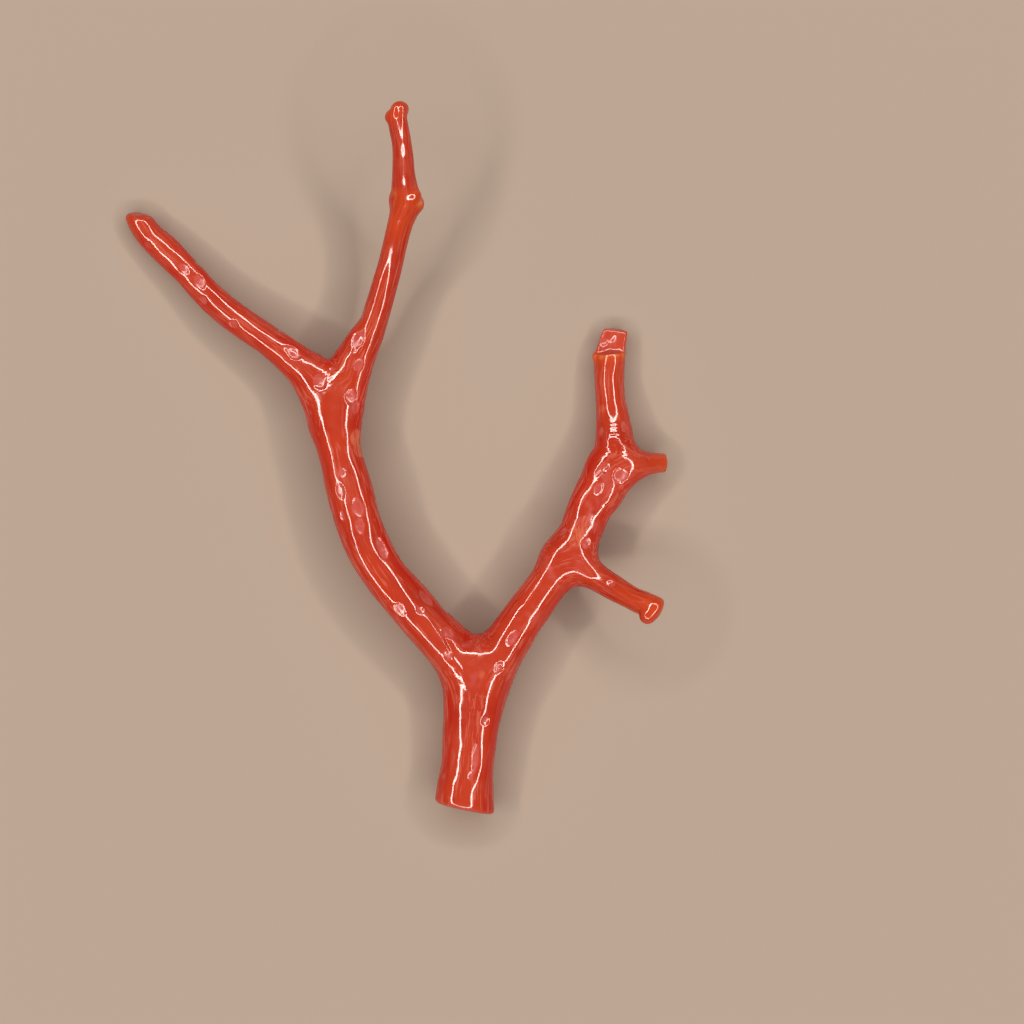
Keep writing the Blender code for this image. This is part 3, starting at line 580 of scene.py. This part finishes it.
def limb_tube(name, line):
    """A tube along a limb's line, as a curve with a bevel."""
    curve = bpy.data.curves.new(name, "CURVE")
    curve.dimensions = "3D"
    curve.bevel_depth = 1.0
    curve.bevel_resolution = TUBE_SIDES
    curve.use_fill_caps = True
    spline = curve.splines.new("POLY")
    spline.points.add(len(line) - 1)
    for point, (x, y, z, half_width) in zip(spline.points, line[:, :4]):
        point.co = (x, y, z, 1)
        point.radius = half_width
    return shown(name, curve)


def shown(name, data):
    """A new object in the scene that shows the data."""
    obj = bpy.data.objects.new(name, data)
    bpy.context.scene.collection.objects.link(obj)
    return obj


def evaluated_mesh(obj):
    """A new mesh of the object with its modifiers applied."""
    depsgraph = bpy.context.evaluated_depsgraph_get()
    return bpy.data.meshes.new_from_object(obj.evaluated_get(depsgraph))


def add_ball(bm, place, radius):
    """Adds a ball to the mesh, such as a limb's round end."""
    round_it, down_it = BALL_SIDES
    made = bmesh.ops.create_uvsphere(bm, u_segments=round_it, v_segments=down_it, radius=radius)
    bmesh.ops.translate(bm, verts=made["verts"], vec=place)


def fused_limbs(lines, mesh_size):
    """All limbs and knobs in one closed skin of even squares."""
    bm = bmesh.new()
    for name, line in lines.items():
        tube = limb_tube(name + "_tube", line)
        bm.from_mesh(evaluated_mesh(tube))
        bpy.data.objects.remove(tube)
        for x, y, z, half_width in line[[0, -1], :4]:
            add_ball(bm, (x, y, z), half_width)
    for x, y, z, radius, _ in KNOBS:
        add_ball(bm, (x, y, z), radius)
    mesh = bpy.data.meshes.new("coral_limbs")
    bm.to_mesh(mesh)
    bm.free()
    limbs = shown("coral_limbs", mesh)
    remesh = limbs.modifiers.new("one skin", "REMESH")
    remesh.mode = "VOXEL"
    remesh.voxel_size = mesh_size
    skin = evaluated_mesh(limbs)
    bpy.data.objects.remove(limbs)
    return skin


def refine(mesh):
    """Halves the squares where the skin has pits, ridges or rough places."""
    share, more = PIT_FINENESS
    places = [(x, y, share * length + more) for x, y, length, _, _ in PITS]
    places += [(x, y, PATCH_FINENESS * reach) for x, y, _, reach, _ in BUSY + BROKEN]
    times, most = RIDGE_FINENESS
    for path, half_width, _, _ in RIDGES:
        spread = smooth_line([(*spot, 0, 0) for spot in path], 2 * RIDGE_STEP)
        places += [(x, y, min(times * half_width, most)) for x, y in spread[:, :2]]
    bm = bmesh.new()
    bm.from_mesh(mesh)
    middles = np.array([face.calc_center_median() for face in bm.faces])
    upward = np.array([face.normal.z for face in bm.faces]) > 0
    fine = np.zeros(len(middles), dtype=bool)
    for x, y, reach in places:
        fine |= upward & (np.hypot(middles[:, 0] - x, middles[:, 1] - y) < reach)
    bm.faces.ensure_lookup_table()
    edges = {edge for index in np.nonzero(fine)[0] for edge in bm.faces[index].edges}
    bmesh.ops.subdivide_edges(bm, edges=list(edges), cuts=1, use_grid_fill=True)
    bm.to_mesh(mesh)
    bm.free()


def mesh_arrays(mesh):
    """The mesh's points and edges as numpy arrays."""
    points = np.empty(len(mesh.vertices) * 3)
    mesh.vertices.foreach_get("co", points)
    edges = np.empty(len(mesh.edges) * 2, dtype=int)
    mesh.edges.foreach_get("vertices", edges)
    return points.reshape(-1, 3), edges.reshape(-1, 2)


def evened(points, edges, amount):
    """Each point moved that share of the way to the middle of its neighbours."""
    counts = np.bincount(edges.ravel(), minlength=len(points))[:, None]
    total = np.zeros_like(points)
    for column in range(3):
        for one, other in ((0, 1), (1, 0)):
            total[:, column] += np.bincount(
                edges[:, one], points[edges[:, other], column], minlength=len(points))
    return points + amount * (total / counts - points)


def settled(points, edges, lines, relaxing, passes):
    """The points moved onto the coral's form, evened out over the first passes."""
    for step in range(passes):
        if step < relaxing:
            points = evened(points, edges, EVENING)
        form = coral_form(lines, points)
        steepness = np.maximum((form[:, 1:4]**2).sum(axis=1), 0.1)
        move = np.clip(form[:, 0] / steepness, -LONGEST_MOVE, LONGEST_MOVE)
        points = points - form[:, 1:4] * move[:, None]
    return points


def store(mesh, name, values):
    """Keeps one number, or one vector, for each point of the mesh under that name."""
    values = np.asarray(values, dtype=np.float32)
    kind, key = ("FLOAT", "value") if values.ndim == 1 else ("FLOAT_VECTOR", "vector")
    mesh.attributes.new(name, kind, "POINT").data.foreach_set(key, values.ravel())


def calm_shading(mesh, edges):
    """Evens out the normals that the skin is shaded with, so that no square shows in its shine."""
    normals = np.empty(len(mesh.vertices) * 3)
    mesh.vertex_normals.foreach_get("vector", normals)
    normals = normals.reshape(-1, 3)
    for _ in range(SHADING_PASSES):
        normals = evened(normals, edges, SHADING_EVENING)
    normals /= np.linalg.norm(normals, axis=1)[:, None]
    mesh.normals_split_custom_set_from_vertices(normals.tolist())


def relief(points, form, lines, normals, sizes):
    """How far the skin stands out at each point, how rosy it is, and how flat it is sawn."""
    pits = placed_pits(points, normals, lines, form)
    sink, inside = pit_relief(points, pits, sizes.pit_depth)
    grain = np.column_stack([form[:, 4] * FLUTE_FINENESS, form[:, 5] * FLUTE_FINENESS,
                             form[:, 6] / FLUTE_LENGTH])
    flutes = mottle(grain, *FLUTES)
    lumps = mottle(points, *LUMPS)
    waves = mottle(points, *WAVES)
    crumbs = mottle(points, *CRUMBS)
    grit = mottle(points, *GRIT)
    busy = spots(points, BUSY)
    broken = spots(points, BROKEN)
    high = swell(points) - sink + ridges(points, form)
    high += sizes.flute_height * flutes * (1 + BUSY_FLUTES * busy)
    high += sizes.lump_height * lumps * (1 + BUSY_LUMPS * busy) + sizes.wave_height * waves
    rougher = 1 + BUSY_CRUMBS * busy + BROKEN_CRUMBS * broken + PIT_CRUMBS * inside
    high += sizes.crumb_height * crumbs * rougher
    high += sizes.grit_height * grit * np.maximum(inside, BROKEN_GRIT * broken)
    place, facing = SAW_CUT[:2]
    flat = soft_step((points - place) @ unit(facing), *CUT_EDGE)
    blush = np.maximum(BUSY_BLUSH * busy, spots(points, ROSY))
    rosy = np.maximum(inside, blush * soft_step(crumbs + lumps + flutes, 0.0, 0.8))
    return high * (1 - flat), np.maximum(rosy, BROKEN_BLUSH * broken), flat


# ---------------------------------------------------------------- materials

def add_node(tree, kind, inputs=None, **settings):
    """A new node with its settings and the values of its inputs."""
    made = tree.nodes.new(kind)
    for key, value in settings.items():
        setattr(made, key, value)
    for key, value in (inputs or {}).items():
        if isinstance(value, bpy.types.NodeSocket):
            tree.links.new(value, made.inputs[key])
        else:
            made.inputs[key].default_value = value
    return made


def skin_value(tree, name):
    """The output that reads one of the skin's stored values."""
    reader = add_node(tree, "ShaderNodeAttribute", attribute_name=name)
    return reader.outputs["Vector" if name == "grain" else "Fac"]


def cloudy(tree, vector, scale, detail, roughness=0.5):
    """Noise from 0 to 1 over the vector."""
    made = add_node(tree, "ShaderNodeTexNoise", {
        "Vector": vector, "Scale": scale, "Detail": detail, "Roughness": roughness})
    return made.outputs["Fac"]


def stretched(tree, vector, factors):
    """The vector with each part multiplied."""
    made = add_node(tree, "ShaderNodeVectorMath", {0: vector, 1: factors}, operation="MULTIPLY")
    return made.outputs["Vector"]


def reckon(tree, operation, one, other):
    """One value worked out from two."""
    made = add_node(tree, "ShaderNodeMath", {0: one, 1: other}, operation=operation)
    return made.outputs["Value"]


def between(tree, value, low, high, out_low=0.0, out_high=1.0):
    """The value brought smoothly from the span between low and high to the span of the results."""
    made = add_node(tree, "ShaderNodeMapRange", {
        "Value": value, "From Min": low, "From Max": high, "To Min": out_low, "To Max": out_high},
        interpolation_type="SMOOTHSTEP")
    return made.outputs["Result"]


def tinted(tree, under, colour, share):
    """The colour laid over the one under it."""
    made = add_node(tree, "ShaderNodeMix", {0: share, 6: under, 7: colour}, data_type="RGBA")
    return made.outputs[2]


def coral_material(looks):
    """Polished coral: red with lengthwise streaks, pink pits partly from a painted sheen, orange
    tips, a painted highlight along the right tip's ledge, a painted reflection on the crown,
    painted shade on the flanks and a matt saw cut.
    """
    material = bpy.data.materials.new("polished red coral")
    material.use_nodes = True
    tree = material.node_tree
    shader = tree.nodes["Principled BSDF"]
    place = add_node(tree, "ShaderNodeTexCoord").outputs["Object"]
    grain = skin_value(tree, "grain")
    pit = skin_value(tree, "pit")
    young_and_ledge_highlight = skin_value(tree, "young_and_ledge_highlight")
    pale = skin_value(tree, "pale")
    cut = skin_value(tree, "cut")
    upright = skin_value(tree, "upright")

    broad = cloudy(tree, place, BROAD_CLOUDS, 2.0)
    blush = cloudy(tree, place, ROSE_CLOUDS, 3.0)
    fine = cloudy(tree, place, FINE_CLOUDS, 3.0)
    streaks = cloudy(tree, stretched(tree, grain, STREAK_STRETCH), 1.0, 3.0, 0.6)
    bands = cloudy(tree, stretched(tree, grain, BAND_STRETCH), 1.0, 2.0)

    # Clouds of deep red and rose, a painted reflection that makes the crown rosy, and painted shade
    # that makes the flanks a darker, purer red.
    colour = tinted(tree, tuple(looks.red), tuple(looks.deep_red), between(tree, broad, 0.4, 0.65))
    colour = tinted(tree, colour, tuple(looks.rose_and_crown_reflection), between(tree, blush, 0.5, 0.7, 0.0, 0.7))
    # Painted reflection: the faces that look straight up are tinted rose.
    colour = tinted(tree, colour, tuple(looks.rose_and_crown_reflection), between(tree, upright, 0.92, 1.0, 0.0, 0.3))
    # Painted shade: the sides and underside, which face away from the light, are painted a darker,
    # purer red.
    flank_shade = between(tree, upright, 0.5, 0.8, 1.0, 0.0)
    colour = tinted(tree, colour, tuple(looks.flank_shade_red), flank_shade)
    # Pink streaks along the limbs, in bands.
    streaky = between(tree, streaks, 0.49, 0.6)
    streaky = reckon(tree, "MULTIPLY", streaky, between(tree, bands, 0.4, 0.56))
    streaky = reckon(tree, "MULTIPLY", streaky, looks.streak_share)
    colour = tinted(tree, colour, tuple(looks.streak_pink), streaky)
    # Young growth with a painted highlight along the right tip's ledge, pale patches, pits with a
    # painted sheen in their pink, and the saw cut.
    young_and_highlight_share = reckon(tree, "MULTIPLY", young_and_ledge_highlight, between(tree, fine, 0.3, 0.6, 0.75, 1.0))
    fresh = between(tree, young_and_highlight_share, 0.0, 1.0)
    # The brightest spots, along the right tip's ledge, are a painted highlight.
    freshest_and_ledge_highlight = between(tree, young_and_highlight_share, 1.0, 2.0)
    colour = tinted(tree, colour, tuple(looks.young_orange), fresh)
    colour = tinted(tree, colour, tuple(looks.edge_orange_and_ledge_highlight), freshest_and_ledge_highlight)
    pale_share = between(tree, pale, 0.25, 0.6)
    pale_share = reckon(tree, "MULTIPLY", pale_share, between(tree, streaks, 0.3, 0.6))
    colour = tinted(tree, colour, tuple(looks.pale_salmon), pale_share)
    # The pits' pink is partly their own colour and partly a painted sheen, lighter than the
    # polished red.
    pit_and_sheen_share = reckon(tree, "MULTIPLY", pit, between(tree, fine, 0.35, 0.65, 0.6, 1.0))
    colour = tinted(tree, colour, tuple(looks.pit_pink_and_sheen), pit_and_sheen_share)
    cut_share = reckon(tree, "MULTIPLY", cut, CUT_SHARE)
    colour = tinted(tree, colour, tuple(looks.cut_face), cut_share)
    tree.links.new(colour, shader.inputs["Base Color"])

    rough = between(tree, fine, 0.3, 0.7, looks.polish, looks.polish + looks.polish_spread)
    matt = reckon(tree, "MULTIPLY", pit, between(tree, fine, 0.42, 0.62, 0.2, 1.0))
    rough = reckon(tree, "ADD", rough, reckon(tree, "MULTIPLY", matt, looks.pit_dullness))
    rough = reckon(tree, "ADD", rough, reckon(tree, "MULTIPLY", cut, looks.cut_dullness))
    tree.links.new(rough, shader.inputs["Roughness"])

    fineness = reckon(tree, "ADD", SKIN_RIPPLES, reckon(tree, "MULTIPLY", pit, PIT_RIPPLES))
    ripples = reckon(tree, "MULTIPLY", streaks, STREAK_RIPPLES)
    ripples = reckon(tree, "ADD", ripples, reckon(tree, "MULTIPLY", fine, fineness))
    bump = add_node(tree, "ShaderNodeBump", {
        "Height": ripples, "Strength": looks.bump_strength, "Distance": looks.bump_height * MM})
    tree.links.new(bump.outputs["Normal"], shader.inputs["Normal"])

    gloss = between(tree, upright, 0.3, 0.8, looks.flank_gloss, looks.crown_gloss)
    tree.links.new(gloss, shader.inputs["Specular IOR Level"])
    shader.inputs["IOR"].default_value = looks.gloss_index
    shader.inputs["Subsurface Weight"].default_value = looks.glow
    shader.inputs["Subsurface Radius"].default_value = GLOW_COLOUR
    shader.inputs["Subsurface Scale"].default_value = looks.glow_depth * MM
    material.diffuse_color = looks.red
    return material


def floor_material(colour):
    """A matt material of one colour."""
    material = bpy.data.materials.new("pale floor")
    material.use_nodes = True
    shader = material.node_tree.nodes["Principled BSDF"]
    shader.inputs["Base Color"].default_value = colour
    shader.inputs["Roughness"].default_value = FLOOR_ROUGHNESS
    shader.inputs["Specular IOR Level"].default_value = FLOOR_GLOSS
    return material


# ---------------------------------------------------------------- settings

def length_property(name, description, default):
    """A length in millimetres."""
    return FloatProperty(name=name, description=description, default=default, min=0.0)


def share_property(name, description, default, top=1.0):
    """A number with no unit."""
    return FloatProperty(name=name, description=description, default=default, min=0.0, max=top)


def colour_property(name, description, default):
    """A colour with its opacity."""
    return FloatVectorProperty(name=name, description=description, default=default,
                               subtype="COLOR", size=4, min=0.0, max=1.0)


class CoralSizes(PropertyGroup):
    """Sizes of the branch's skin, in millimetres."""

    mesh_size: length_property("Mesh size", "Width of the squares of the skin", 0.147)
    pit_depth: share_property("Pit depth", "Depth of the pits beside their width", 0.1)
    flute_height: length_property("Flute height", "Height of the lengthwise flutes", 0.014)
    lump_height: length_property("Lump height", "Height of the polished lumps", 0.024)
    wave_height: length_property("Wave height", "Height of the shallow waves in the polish", 0.012)
    crumb_height: length_property("Crumb height", "Height of the small unevenness", 0.004)
    grit_height: length_property("Grit height", "Height of grit in pits and on broken faces", 0.01)


class CoralLooks(PropertyGroup):
    """Colours and finish of the branch."""

    red: colour_property("Red", "Polished skin", (0.63, 0.042, 0.006, 1.0))
    deep_red: colour_property("Deep red", "Darker clouds in the skin", (0.55, 0.027, 0.004, 1.0))
    # Painted shade: the darker, purer red of the sides and underside.
    flank_shade_red: colour_property("Flank red", "Sides and underside", (0.59, 0.016, 0.002, 1.0))
    # Rose colours the rosy clouds and also the painted reflection on the crown.
    rose_and_crown_reflection: colour_property("Rose", "Rosy clouds in the skin", (0.63, 0.07, 0.032, 1.0))
    streak_pink: colour_property("Streak pink", "Lengthwise streaks", (0.76, 0.14, 0.085, 1.0))
    young_orange: colour_property("Young orange", "Young growth", (0.72, 0.064, 0.005, 1.0))
    # Edge orange also paints the highlight along the right tip's ledge.
    edge_orange_and_ledge_highlight: colour_property("Edge orange", "Freshest growth", (0.85, 0.25, 0.055, 1.0))
    pale_salmon: colour_property("Pale salmon", "Pale patches", (0.80, 0.17, 0.085, 1.0))
    # Pit pink is partly the pits' own colour and partly a painted sheen.
    pit_pink_and_sheen: colour_property("Pit pink", "Pits and rosy patches", (0.70, 0.115, 0.095, 1.0))
    cut_face: colour_property("Cut face", "Sawn end of the trunk", (0.66, 0.11, 0.07, 1.0))
    streak_share: share_property("Streaks", "How strongly the streaks show", 0.75)
    polish: share_property("Polish roughness", "Roughness of the polished skin", 0.07)
    polish_spread: share_property("Polish spread", "How much that roughness varies", 0.04)
    pit_dullness: share_property("Pit dullness", "Roughness added in the pits", 0.2)
    cut_dullness: share_property("Cut dullness", "Roughness added on the sawn end", 0.35)
    bump_strength: share_property("Grain strength", "Strength of the finest grain", 0.5)
    bump_height: length_property("Grain height", "Height of the finest grain in millimetres", 0.008)
    gloss_index: share_property("Gloss index", "Refractive index of the skin", 1.85, 3.0)
    crown_gloss: share_property("Crown gloss", "Strength of the gloss on the upper side", 0.5)
    flank_gloss: share_property("Flank gloss", "Strength of the gloss on the sides", 0.2)
    glow: share_property("Glow", "Share of light that enters the coral", 0.12)
    glow_depth: length_property("Glow depth", "How deep that light goes, in millimetres", 0.6)


class CoralStage(PropertyGroup):
    """Floor, lamps and camera."""

    floor_colour: colour_property("Floor", "Pale floor", (0.49, 0.39, 0.32, 1.0))
    lamp_count: IntProperty(name="Lamps", description="Panels in the ring lamp", default=36, min=8)
    ring_height: FloatProperty(name="Ring height", default=0.5, unit="LENGTH",
                               description="Height of the ring lamp over the floor")
    ring_inner: FloatProperty(name="Ring inside", default=0.385, unit="LENGTH",
                              description="Inner radius of the ring lamp")
    ring_outer: FloatProperty(name="Ring outside", default=0.45, unit="LENGTH",
                              description="Outer radius of the ring lamp")
    ring_colour: colour_property("Ring colour", "Colour of the ring lamp", (1.0, 0.95, 0.88, 1.0))
    ring_light: share_property("Ring light", "Brightness of the ring lamp's panels", 12.0, 50.0)
    sky_light: share_property("Sky light", "Brightness all round", 0.12)
    camera_height: FloatProperty(name="Camera height", default=0.303, unit="LENGTH",
                                 description="Height of the camera over the floor")
    lens: FloatProperty(name="Lens", description="Focal length", default=120.9, unit="CAMERA")


# ---------------------------------------------------------------- operators

class CORAL_OT_branch(Operator):
    """Builds the branch's skin over its solids"""

    bl_idname = "coral.branch"
    bl_label = "Coral Branch"

    def execute(self, context):
        sizes = context.scene.coral_sizes
        lines = limb_lines(STATION_STEP)
        mesh = fused_limbs(lines, sizes.mesh_size)
        points, edges = mesh_arrays(mesh)
        mesh.vertices.foreach_set("co", settled(points, edges, lines, *ROUGH_PASSES).ravel())
        refine(mesh)
        points, edges = mesh_arrays(mesh)
        points = settled(points, edges, lines, *FINE_PASSES)
        for amount in SMOOTHING:
            points = evened(points, edges, amount)
        form = coral_form(lines, points)
        normals = form[:, 1:4] / np.linalg.norm(form[:, 1:4], axis=1)[:, None]
        high, inside, flat = relief(points, form, lines, normals, sizes)
        moved = points + normals * high[:, None]
        low, top = moved.min(axis=0), moved.max(axis=0)
        middle = (SOLID_BOX[0] + SOLID_BOX[1]) / 2
        origin = np.array([(low[0] + top[0]) / 2, (low[1] + top[1]) / 2, low[2]])
        floor = np.array([middle[0], middle[1], SOLID_BOX[0][2]])
        mesh.vertices.foreach_set("co", ((moved - origin) * MM + floor).ravel())
        mesh.update()
        store(mesh, "grain", form[:, 4:7])
        store(mesh, "pit", inside)
        store(mesh, "young_and_ledge_highlight", spots(points, YOUNG_AND_LEDGE_HIGHLIGHT))
        store(mesh, "pale", spots(points, PALE))
        store(mesh, "cut", flat)
        store(mesh, "upright", normals[:, 2])
        mesh.shade_smooth()
        calm_shading(mesh, edges)
        mesh.name = "coral_branch"
        coral = shown("coral_branch", mesh)
        coral["frame_origin"] = [float(value) for value in floor - origin * MM]
        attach(coral, "root")
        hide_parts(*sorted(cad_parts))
        return {"FINISHED"}


class CORAL_OT_finish(Operator):
    """Gives the branch its polished red finish"""

    bl_idname = "coral.finish"
    bl_label = "Coral Finish"

    def execute(self, context):
        mesh = bpy.data.objects["coral_branch"].data
        mesh.materials.clear()
        mesh.materials.append(coral_material(context.scene.coral_looks))
        return {"FINISHED"}


class CORAL_OT_stage(Operator):
    """Sets up the floor, the ring lamp, the sky and the camera"""

    bl_idname = "coral.stage"
    bl_label = "Coral Stage"

    def execute(self, context):
        stage = context.scene.coral_stage
        origin = Vector(bpy.data.objects["coral_branch"]["frame_origin"])
        over = Vector((CAMERA_PLACE[0] * MM, CAMERA_PLACE[1] * MM, 0.0)) + origin
        floor_at(SOLID_BOX[0][2], stage)
        ring_lamp(over, stage)
        plain_sky(context.scene, stage)
        camera = shown("camera", bpy.data.cameras.new("camera"))
        camera.data.lens = stage.lens
        camera.data.sensor_width = SENSOR_WIDTH
        camera.data.clip_start = NEAREST_SEEN
        camera.location = (over.x, over.y, stage.camera_height + origin.z)
        context.scene.camera = camera
        context.scene.view_settings.view_transform = "Standard"
        return {"FINISHED"}


def floor_at(height, stage):
    """A wide pale floor at that height."""
    bm = bmesh.new()
    bmesh.ops.create_grid(bm, x_segments=1, y_segments=1, size=FLOOR_REACH)
    mesh = bpy.data.meshes.new("floor")
    bm.to_mesh(mesh)
    bm.free()
    mesh.materials.append(floor_material(stage.floor_colour))
    floor = shown("floor", mesh)
    floor.location.z = height


def ring_lamp(over, stage):
    """A ring of panel lamps that shines straight down."""
    width = stage.ring_outer - stage.ring_inner
    radius = (stage.ring_outer + stage.ring_inner) / 2
    length = 2 * math.pi * radius / stage.lamp_count
    for number in range(stage.lamp_count):
        turn = 2 * math.pi * number / stage.lamp_count
        panel = bpy.data.lights.new(f"ring panel {number}", "AREA")
        panel.shape = "RECTANGLE"
        panel.color = stage.ring_colour[:3]
        panel.size = width
        panel.size_y = length
        panel.energy = stage.ring_light * math.pi * width * length
        lamp = shown(panel.name, panel)
        lamp.location = over + Vector((math.cos(turn) * radius, math.sin(turn) * radius, 0.0))
        lamp.location.z = stage.ring_height
        lamp.rotation_euler.z = turn
        lamp.visible_camera = False


def plain_sky(scene, stage):
    """An even, dim sky."""
    sky = bpy.data.worlds.new("even sky")
    sky.use_nodes = True
    light = sky.node_tree.nodes["Background"]
    light.inputs["Color"].default_value = SKY_COLOUR
    light.inputs["Strength"].default_value = stage.sky_light
    scene.world = sky


class CORAL_PT_panel(Panel):
    """Lists the steps that build the coral"""

    bl_idname = "CORAL_PT_panel"
    bl_label = "Red Coral Branch"
    bl_space_type = "VIEW_3D"
    bl_region_type = "UI"
    bl_category = "Coral"

    def draw(self, context):
        for group, operators in PANEL_ROWS:
            box = self.layout.box()
            for key in getattr(context.scene, group).bl_rna.properties.keys():
                if key not in {"rna_type", "name"}:
                    box.prop(getattr(context.scene, group), key)
            for operator in operators:
                box.operator(operator)


PANEL_ROWS = (
    ("coral_sizes", ("coral.branch",)),
    ("coral_looks", ("coral.finish",)),
    ("coral_stage", ("coral.stage",)),
)
GROUPS = {"coral_sizes": CoralSizes, "coral_looks": CoralLooks, "coral_stage": CoralStage}
CLASSES = (*GROUPS.values(), CORAL_OT_branch, CORAL_OT_finish, CORAL_OT_stage, CORAL_PT_panel)


def register():
    """Registers the classes and their settings."""
    for one in CLASSES:
        bpy.utils.register_class(one)
    for name, group in GROUPS.items():
        setattr(bpy.types.Scene, name, PointerProperty(type=group))


def unregister():
    """Takes the settings and the classes away."""
    for name in GROUPS:
        delattr(bpy.types.Scene, name)
    for one in reversed(CLASSES):
        bpy.utils.unregister_class(one)


def main():
    """Builds the coral and its stage."""
    register()
    bpy.ops.coral.branch()
    bpy.ops.coral.finish()
    bpy.ops.coral.stage()


if __name__ == "__main__":
    main()
